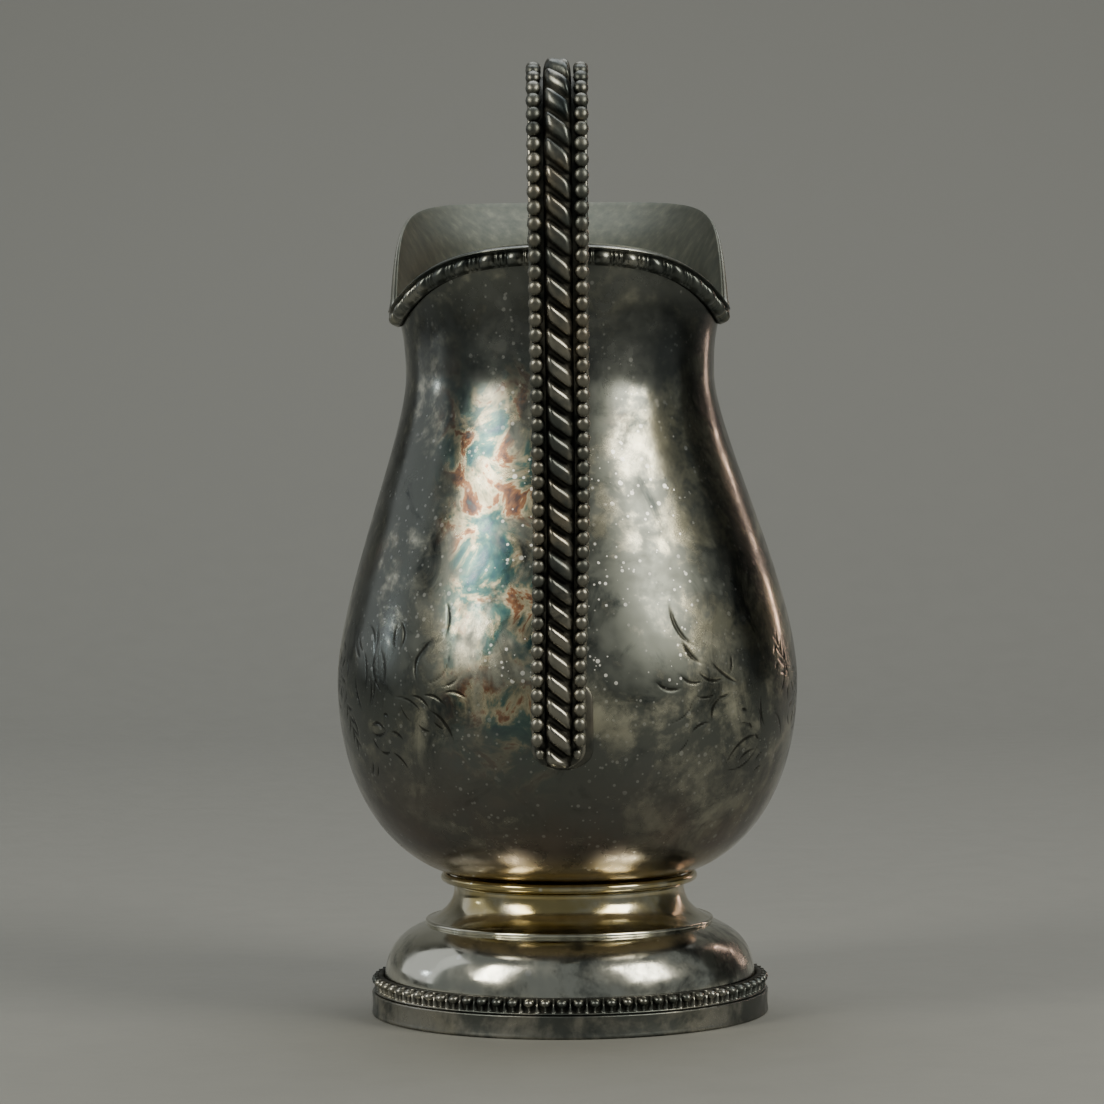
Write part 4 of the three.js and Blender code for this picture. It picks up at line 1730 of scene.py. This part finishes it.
@dataclass(frozen=True)
class TarnishedSilver:
    """Old silver under clouds of tarnish.

    Attributes:
        name: The finish's name.
        bright: Colour where the silver is cleanest.
        grey: Colour of common tarnish.
        black: Colour of heavy tarnish.
        warm: Colour of the yellow first bloom.
        cover: How much is covered by grey tarnish, from 0 to 1.
        heavy: How much is covered by black tarnish.
        bloom: How strong the yellow bloom is.
        patch: Size of a tarnish cloud in millimetres.
        polish: Roughness where the silver is cleanest.
        dull: Roughness under heavy tarnish.
        dents: Depth of the soft dents in the sheet, in millimetres.
        specks: How strong the pale specks are.
        grime_and_shade: Colour of the dirt in the engraving, and of dirt with painted shade in the mouldings'
            hollows, under the beads and on faces turned to the sheet.
    """

    name: str
    bright: Colour = (0.66, 0.64, 0.51)
    grey: Colour = (0.092, 0.104, 0.099)
    black: Colour = (0.024, 0.031, 0.033)
    warm: Colour = (0.40, 0.345, 0.18)
    cover: float = 0.74
    heavy: float = 0.46
    bloom: float = 0.55
    patch: float = 22.0
    polish: float = 0.20
    dull: float = 0.42
    dents: float = 0.25
    specks: float = 0.8
    grime_and_shade: Colour = (0.018, 0.018, 0.015)

    def start(self) -> tuple[Bench, bpy.types.NodeSocket, bpy.types.NodeSocket, bpy.types.NodeSocket]:
        """Lay the silver and its tarnish.

        Returns:
            The bench, the colour, the roughness and the bent normal.
        """
        bench = Bench(self.name)
        bench.shader.inputs["Metallic"].default_value = 1.0
        large = bench.cloud(self.patch, 6, 0.62, 0.6)
        small = bench.cloud(self.patch * 0.16, 5, 0.6, 0.3)
        both = bench.number("ADD", bench.times(large, 0.66), bench.times(small, 0.34))
        centre = lerp(0.60, 0.40, self.cover)
        greyed = bench.band(both, centre - 0.085, centre + 0.085)
        centre = lerp(0.66, 0.46, self.heavy)
        dark_cloud = bench.cloud(self.patch * 0.7, 7, 0.66, 1.0, turn=(0.4, 0.9, 0.2))
        blackened = bench.band(dark_cloud, centre - 0.06, centre + 0.10)
        warm_cloud = bench.cloud(self.patch * 1.3, 4, 0.5, 0.4, turn=(1.1, 0.3, 0.8))
        bloomed = bench.band(warm_cloud, 0.45, 0.72, 0.0, self.bloom)
        colour = bench.mix(bloomed, self.bright, self.warm)
        colour = bench.mix(bench.times(greyed, 0.93), colour, self.grey)
        colour = bench.mix(bench.times(blackened, 0.9), colour, self.black)
        roughness = bench.band(both, 0.30, 0.70, self.polish, self.dull)
        smudge = bench.band(bench.cloud(3.5, 3, 0.5), 0.35, 0.75, -0.03, 0.07)
        roughness = bench.number("ADD", roughness, smudge)
        normal = bench.relief(bench.cloud(14, 2, 0.4), self.dents)
        normal = bench.relief(bench.cloud(2.2, 3, 0.5), self.dents * 0.05, normal)
        return bench, colour, roughness, normal

    def finish(self, bench: Bench, colour: object, roughness: object, normal: object) -> bpy.types.Material:
        """Join the layers to the shader.

        Args:
            bench: The bench.
            colour: The finished colour.
            roughness: The finished roughness.
            normal: The bent normal.

        Returns:
            The material.
        """
        bench.feed(bench.shader.inputs["Base Color"], colour)
        bench.feed(bench.shader.inputs["Roughness"], roughness)
        bench.feed(bench.shader.inputs["Normal"], normal)
        return bench.material

    def material(self) -> bpy.types.Material:
        """Make the plain finish, with specks.

        Returns:
            The material.
        """
        bench, colour, roughness, normal = self.start()
        dots = bench.times(bench.specks(2.4, 0.42, 0.35), self.specks)
        colour = bench.mix(dots, colour, (0.62, 0.61, 0.58))
        return self.finish(bench, colour, roughness, normal)


@dataclass(frozen=True)
class WireSilver(TarnishedSilver):
    """Silver of the cast mouldings: worn bright on top, with dirt and painted shade in the hollows, under the
    beads and on faces turned to the sheet.

    Attributes:
        depth: How strong the dirt and painted shade are.
        matt: Colour where the wire was left matt.
    """

    depth: float = 0.9
    matt: Colour = (0.150, 0.152, 0.128)

    def material(self) -> bpy.types.Material:
        """Make the finish.

        Returns:
            The material.
        """
        bench, colour, roughness, normal = self.start()
        dull = bench.kept("dull")
        colour = bench.mix(bench.times(dull, 0.85), colour, self.matt)
        roughness = bench.mix(dull, roughness, MATT)
        # Painted shade, with dirt: the hollows, the beads' undersides and the faces turned to the sheet or
        # the strap darken.
        deep = bench.band(bench.kept("hollow_shade"), 0.15, 0.85)
        colour = bench.mix(bench.times(deep, self.depth), colour, self.grime_and_shade)
        roughness = bench.number("ADD", roughness, bench.times(deep, 0.25))
        return self.finish(bench, colour, roughness, normal)


@dataclass(frozen=True)
class FootSilver(TarnishedSilver):
    """Silver of the foot: rubbed clean on the dome, with a golden bloom round its neck.

    Attributes:
        gold: Colour of the bloom.
        gold_from: Height where the bloom starts, in millimetres.
        gold_full: Height where it is strongest.
    """

    gold: Colour = (0.50, 0.40, 0.17)
    gold_from: float = 15.0
    gold_full: float = 20.0

    def material(self) -> bpy.types.Material:
        """Make the finish.

        Returns:
            The material.
        """
        bench, colour, roughness, normal = self.start()
        high = bench.band(bench.z, self.gold_from * MM, self.gold_full * MM)
        patchy = bench.band(bench.cloud(9, 4, 0.6, 0.5, turn=(0.5, 0.2, 0.9)), 0.30, 0.60, 0.35, 0.95)
        colour = bench.mix(bench.times(high, patchy), colour, self.gold)
        dots = bench.times(bench.specks(2.4, 0.6, 0.30), self.specks)
        colour = bench.mix(dots, colour, (0.80, 0.79, 0.74))
        return self.finish(bench, colour, roughness, normal)


@dataclass(frozen=True)
class VesselSilver(TarnishedSilver):
    """Silver of the vessel: clouded, pitted, with rainbow tarnish and grime in the engraving.

    Attributes:
        rainbow: How strong the rainbow tarnish is.
        veil_shade: Colour of the even tarnish and painted shade on the neck and the bowl, where the lamps'
            reflections stop.
        floor_reflection_tint: Pink colour painted low on the belly as the floor's reflection.
        gilt: Colour of the bowl's underside, next to the foot.
    """

    rainbow: float = 0.85
    veil_shade: Colour = (0.135, 0.142, 0.134)
    floor_reflection_tint: Colour = (0.20, 0.158, 0.132)
    gilt: Colour = (0.42, 0.33, 0.19)

    def rainbowed(self, bench: Bench, colour: object) -> bpy.types.NodeSocket:
        """Lay the rainbow tarnish: strong on the belly to the handle's left, faint elsewhere.

        Args:
            bench: The bench.
            colour: The colour so far.

        Returns:
            The new colour.
        """
        stops = [
            (0.32, (0.05, 0.08, 0.12)),
            (0.40, (0.04, 0.11, 0.12)),
            (0.46, (0.09, 0.18, 0.16)),
            (0.50, (0.40, 0.37, 0.25)),
            (0.53, (0.62, 0.56, 0.38)),
            (0.56, (0.34, 0.16, 0.08)),
            (0.62, (0.10, 0.06, 0.06)),
            (0.70, (0.06, 0.13, 0.15)),
        ]
        hues = bench.ramp(bench.cloud(7.5, 5, 0.62, 0.5, turn=(0.2, 0.5, 1.4)), stops)
        across = bench.beside(bench.x, -0.011, 0.012, 0.005)
        behind = bench.band(bench.y, 0.0, -0.015)
        tall = bench.beside(bench.z, 0.078, 0.042, 0.018)
        patchy = bench.band(bench.cloud(11, 5, 0.6, 0.8, turn=(0.7, 0.1, 0.4)), 0.40, 0.58)
        here = bench.times(bench.times(across, behind), bench.times(tall, patchy))
        faint_cloud = bench.cloud(30, 4, 0.5, 0.6, turn=(1.3, 0.2, 0.6))
        everywhere = bench.band(faint_cloud, 0.62, 0.82, 0.0, 0.25)
        share = bench.times(bench.number("MAXIMUM", here, everywhere), self.rainbow)
        return bench.mix(share, colour, hues)

    def veiled_and_shaded(self, bench: Bench, colour: object) -> bpy.types.NodeSocket:
        """Lay the even tarnish with painted shade: grey on the neck and the bowl, a pink painted reflection
        of the floor low down and gilt underneath.

        Args:
            bench: The bench.
            colour: The colour so far.

        Returns:
            The new colour.
        """
        # Painted shade: the neck and the bowl, where the lamps' reflections stop, are dulled to one even grey
        # with the tarnish.
        shaded = bench.number("MAXIMUM", bench.band(bench.z, 0.100, 0.114), bench.band(bench.z, 0.058, 0.044))
        thin = bench.band(bench.cloud(13, 5, 0.6, 0.4, turn=(0.9, 0.6, 0.1)), 0.34, 0.60, 0.95, 0.45)
        colour = bench.mix(bench.times(shaded, thin), colour, self.veil_shade)
        # Painted reflection: a mottled pink tint low on the belly stands in for the floor's reflection.
        low = bench.band(bench.z, 0.050, 0.026)
        floor_reflection_tint = bench.times(low, bench.band(bench.cloud(16, 4, 0.6), 0.35, 0.65, 0.25, 0.85))
        colour = bench.mix(floor_reflection_tint, colour, self.floor_reflection_tint)
        return bench.mix(bench.band(bench.z, 0.031, 0.026, 0.0, 0.75), colour, self.gilt)

    def speckles(self, bench: Bench) -> bpy.types.NodeSocket:
        """Scatter pale specks, most of them on the lit belly, where they are painted glints brighter than the
        clean silver.

        Args:
            bench: The bench.

        Returns:
            How strongly a place is specked, from 0 to 1.
        """
        # Painted glints: the pits crowd where the lamps are reflected on the belly.
        crowd = bench.band(bench.cloud(13, 3, 0.5, turn=(0.3, 1.2, 0.5)), 0.38, 0.52)
        lit = bench.times(bench.band(bench.z, 0.052, 0.064), bench.band(bench.z, 0.106, 0.094))
        lit = bench.times(lit, bench.beside(bench.x, 0.004, 0.021, 0.013))
        crowd = bench.times(crowd, bench.band(lit, 0.0, 1.0, 0.25, 1.0))
        dots = bench.number("MAXIMUM", bench.specks(1.5, 0.44, 0.50), bench.specks(0.95, 0.27, 0.50, 0.37))
        return bench.times(bench.times(dots, crowd), self.specks)

    def material(self) -> bpy.types.Material:
        """Make the finish.

        Returns:
            The material.
        """
        bench, colour, roughness, normal = self.start()
        colour = self.veiled_and_shaded(bench, self.rainbowed(bench, colour))
        dots = self.speckles(bench)
        # Pale pits, whiter than the clean silver: painted glints on the lit belly.
        colour = bench.mix(dots, colour, (0.86, 0.86, 0.82))
        roughness = bench.number("ADD", roughness, bench.times(dots, 0.20))
        engraved = bench.band(bench.kept("engraved"), 0.05, 0.55)
        colour = bench.mix(bench.times(engraved, 0.80), colour, self.grime_and_shade)
        roughness = bench.times(roughness, bench.band(bench.y, -0.022, -0.012, 1.0, 0.60))
        inside = bench.kept("inside")
        brushed = bench.cloud(1.6, 4, 0.6, stretch=(1.0, 1.0, 0.10))
        stops = [(0.30, (0.074, 0.082, 0.068)), (0.55, (0.100, 0.106, 0.085)), (0.75, (0.140, 0.144, 0.112))]
        colour = bench.mix(inside, colour, bench.ramp(brushed, stops))
        roughness = bench.mix(inside, roughness, MATT)
        return self.finish(bench, colour, roughness, normal)


# --------------------------------------------------------------------------------------------------
# Studio
# --------------------------------------------------------------------------------------------------


@dataclass
class Softbox:
    """A soft lamp that looks at the jug.

    Attributes:
        name: The lamp's name.
        azimuth: Its place round the jug in degrees, 0 behind the camera, growing towards +X.
        elevation: Its height above the jug in degrees.
        distance: Its distance in metres.
        size: Its width and height in metres.
        power: Its power in watts.
        colour: Its colour.
    """

    name: str
    azimuth: float
    elevation: float
    distance: float
    size: tuple[float, float]
    power: float
    colour: Colour = (1.0, 0.94, 0.84)

    def build(self, target: Vector) -> None:
        """Hang the lamp and turn it to the target.

        Args:
            target: The place that it lights, in metres.
        """
        data = bpy.data.lights.new(self.name, "AREA")
        data.shape = "RECTANGLE"
        data.size, data.size_y = self.size
        data.energy = self.power
        data.color = self.colour
        lamp = bpy.data.objects.new(self.name, data)
        turn, lift = math.radians(self.azimuth), math.radians(self.elevation)
        way = Vector((math.sin(turn) * math.cos(lift), -math.cos(turn) * math.cos(lift), math.sin(lift)))
        lamp.location = target + way * self.distance
        lamp.rotation_euler = (-way).to_track_quat("-Z", "Y").to_euler()
        bpy.context.scene.collection.objects.link(lamp)


@dataclass
class Studio:
    """Camera, floor with its sweep, world and lamps.

    Attributes:
        distance: Camera's distance from the jug's axis, in metres.
        eye: Camera's height.
        aim: Height that the camera looks at.
        aside: How far beside the axis it looks.
        roll: Its roll in degrees.
        lens: Its focal length in millimetres.
        floor_grey: Colour of the floor and the sweep.
        world_grey: Colour of the surroundings.
        floor_half: Distance from the middle to the floor's sides.
        sweep_from: Distance behind the jug where the floor starts to rise.
        sweep_bend: Radius of the rise.
        sweep_top: Height of the backdrop.
        lamps: The lamps.
    """

    distance: float = 0.690
    eye: float = 0.101
    aim: float = 0.0795
    aside: float = -0.00247
    roll: float = -0.5
    lens: float = 130.2
    floor_grey: Colour = (0.178, 0.180, 0.166)
    world_grey: Colour = (0.150, 0.162, 0.159)
    floor_half: float = 6.0
    sweep_from: float = 0.62
    sweep_bend: float = 0.5
    sweep_top: float = 2.6
    lamps: Sequence[Softbox] = (
        Softbox("left_softbox", -54, 32, 0.95, (0.28, 0.56), 5.8, (1.0, 0.95, 0.82)),
        Softbox("right_softbox", 53, 33, 0.95, (0.40, 0.56), 8.0, (1.0, 0.95, 0.82)),
        Softbox("top_softbox", 170, 66, 1.40, (1.3, 0.9), 14.0, (0.96, 0.98, 1.0)),
        Softbox("left_edge_lamp", -103, 9, 1.0, (0.035, 0.06), 0.09, (0.80, 0.90, 1.0)),
        Softbox("left_fill", -112, 24, 1.3, (0.9, 1.1), 1.7, (0.95, 0.98, 1.0)),
        Softbox("right_rear_strip", 138, 14, 1.1, (0.03, 0.65), 0.55, (1.0, 0.68, 0.54)),
    )

    def build_camera(self) -> None:
        """Stand the camera behind the handle, looking towards the lip."""
        data = bpy.data.cameras.new("camera")
        data.lens = self.lens
        data.sensor_width = 36.0
        data.clip_end = 20.0
        camera = bpy.data.objects.new("camera", data)
        place = Vector((0.0, AXIS_Y - self.distance, self.eye))
        target = Vector((self.aside, AXIS_Y, self.aim))
        look = (target - place).to_track_quat("-Z", "Y").to_matrix().to_4x4()
        camera.matrix_world = look @ Matrix.Rotation(math.radians(self.roll), 4, "Z")
        camera.location = place
        bpy.context.scene.collection.objects.link(camera)
        bpy.context.scene.camera = camera

    def build_floor(self) -> None:
        """Lay the floor and sweep it up into a backdrop."""
        rise = np.linspace(0, QUARTER_TURN, 25)
        back, bend, half = self.sweep_from, self.sweep_bend, self.floor_half
        flat = np.linspace(-half, back, 10)[:-1]
        profile = [(y, 0.0) for y in flat]
        profile += [(back + bend * math.sin(a), bend * (1 - math.cos(a))) for a in rise]
        profile += [(back + bend, z) for z in np.linspace(bend, self.sweep_top, 6)[1:]]
        across = np.linspace(-half, half, 13)
        rows = np.array([[(x, y, z) for x in across] for y, z in profile])
        piece = grid_mesh("studio_floor", rows / MM, close_across=False)
        piece.location.y = -AXIS_Y
        bench = Bench("pale_paper")
        grain = bench.cloud(9, 4, 0.6)
        darker = tuple(0.97 * c for c in self.floor_grey)
        colour = bench.mix(bench.band(grain, 0.3, 0.7), darker, self.floor_grey)
        bench.feed(bench.shader.inputs["Base Color"], colour)
        bench.feed(bench.shader.inputs["Roughness"], bench.band(grain, 0.3, 0.7, 0.62, 0.72))
        bench.shader.inputs["Specular IOR Level"].default_value = 0.25
        piece.data.materials.append(bench.material)

    def build_light(self) -> None:
        """Set the world's grey and hang the lamps."""
        world = bpy.data.worlds.new("studio")
        world.use_nodes = True
        world.node_tree.nodes["Background"].inputs["Color"].default_value = (*self.world_grey, 1.0)
        bpy.context.scene.world = world
        for lamp in self.lamps:
            lamp.build(Vector((0.0, AXIS_Y, 0.08)))


# --------------------------------------------------------------------------------------------------
# The jug
# --------------------------------------------------------------------------------------------------


def main() -> None:
    """Build the studio, then each sub-assembly of the jug."""
    logging.basicConfig(level=logging.INFO, format="%(message)s")
    studio = Studio()
    studio.build_camera()
    studio.build_floor()
    studio.build_light()

    shape = VesselShape()
    vessel_silver = VesselSilver("vessel_silver").material()
    rim_silver = WireSilver(
        "rim_silver",
        bright=(0.34, 0.34, 0.30),
        cover=0.55,
        heavy=0.35,
        polish=0.24,
        dull=0.40,
        dents=0.03,
        depth=0.7,
    ).material()
    foot_silver = FootSilver(
        "foot_silver",
        bright=(0.72, 0.71, 0.62),
        cover=0.26,
        heavy=0.05,
        bloom=0.12,
        polish=0.10,
        dull=0.22,
        dents=0.12,
    ).material()
    band_silver = WireSilver(
        "band_silver",
        bright=(0.40, 0.39, 0.35),
        cover=0.62,
        heavy=0.3,
        polish=0.26,
        dull=0.44,
        dents=0.05,
    ).material()
    handle_silver = WireSilver(
        "handle_silver",
        bright=(0.30, 0.29, 0.25),
        warm=(0.26, 0.20, 0.12),
        cover=0.55,
        heavy=0.35,
        polish=0.26,
        dull=0.42,
        dents=0.03,
    ).material()

    install(Vessel(shape).build(), vessel_silver, Slot.BODY, "body_shell")
    rim = RimMoulding(shape)
    install(rim.build(-1), rim_silver, Slot.RIM, "rim_moulding_left")
    install(rim.build(1), rim_silver, Slot.RIM, "rim_moulding_right")
    foot = Foot()
    install(foot.build_waist(), foot_silver, Slot.FOOT, "waist_ring")
    install(foot.build_shell(), foot_silver, Slot.FOOT, "foot_shell")
    install(foot.build_band(), band_silver, Slot.BAND, "foot_band")
    install(foot.build_beading(), band_silver, Slot.BAND, "foot_beading")
    handle = Handle(shape)
    install(handle.build_strap(), handle_silver, Slot.HANDLE, "handle_strap")
    install(handle.build_rope(), handle_silver, Slot.HANDLE, "handle_rope")
    install(handle.build_beads(-1), handle_silver, Slot.HANDLE, "handle_bead_left")
    install(handle.build_beads(1), handle_silver, Slot.HANDLE, "handle_bead_right")
    install(handle.build_seat(), handle_silver, Slot.HANDLE, "handle_lower_seat")


if __name__ == "__main__":
    main()
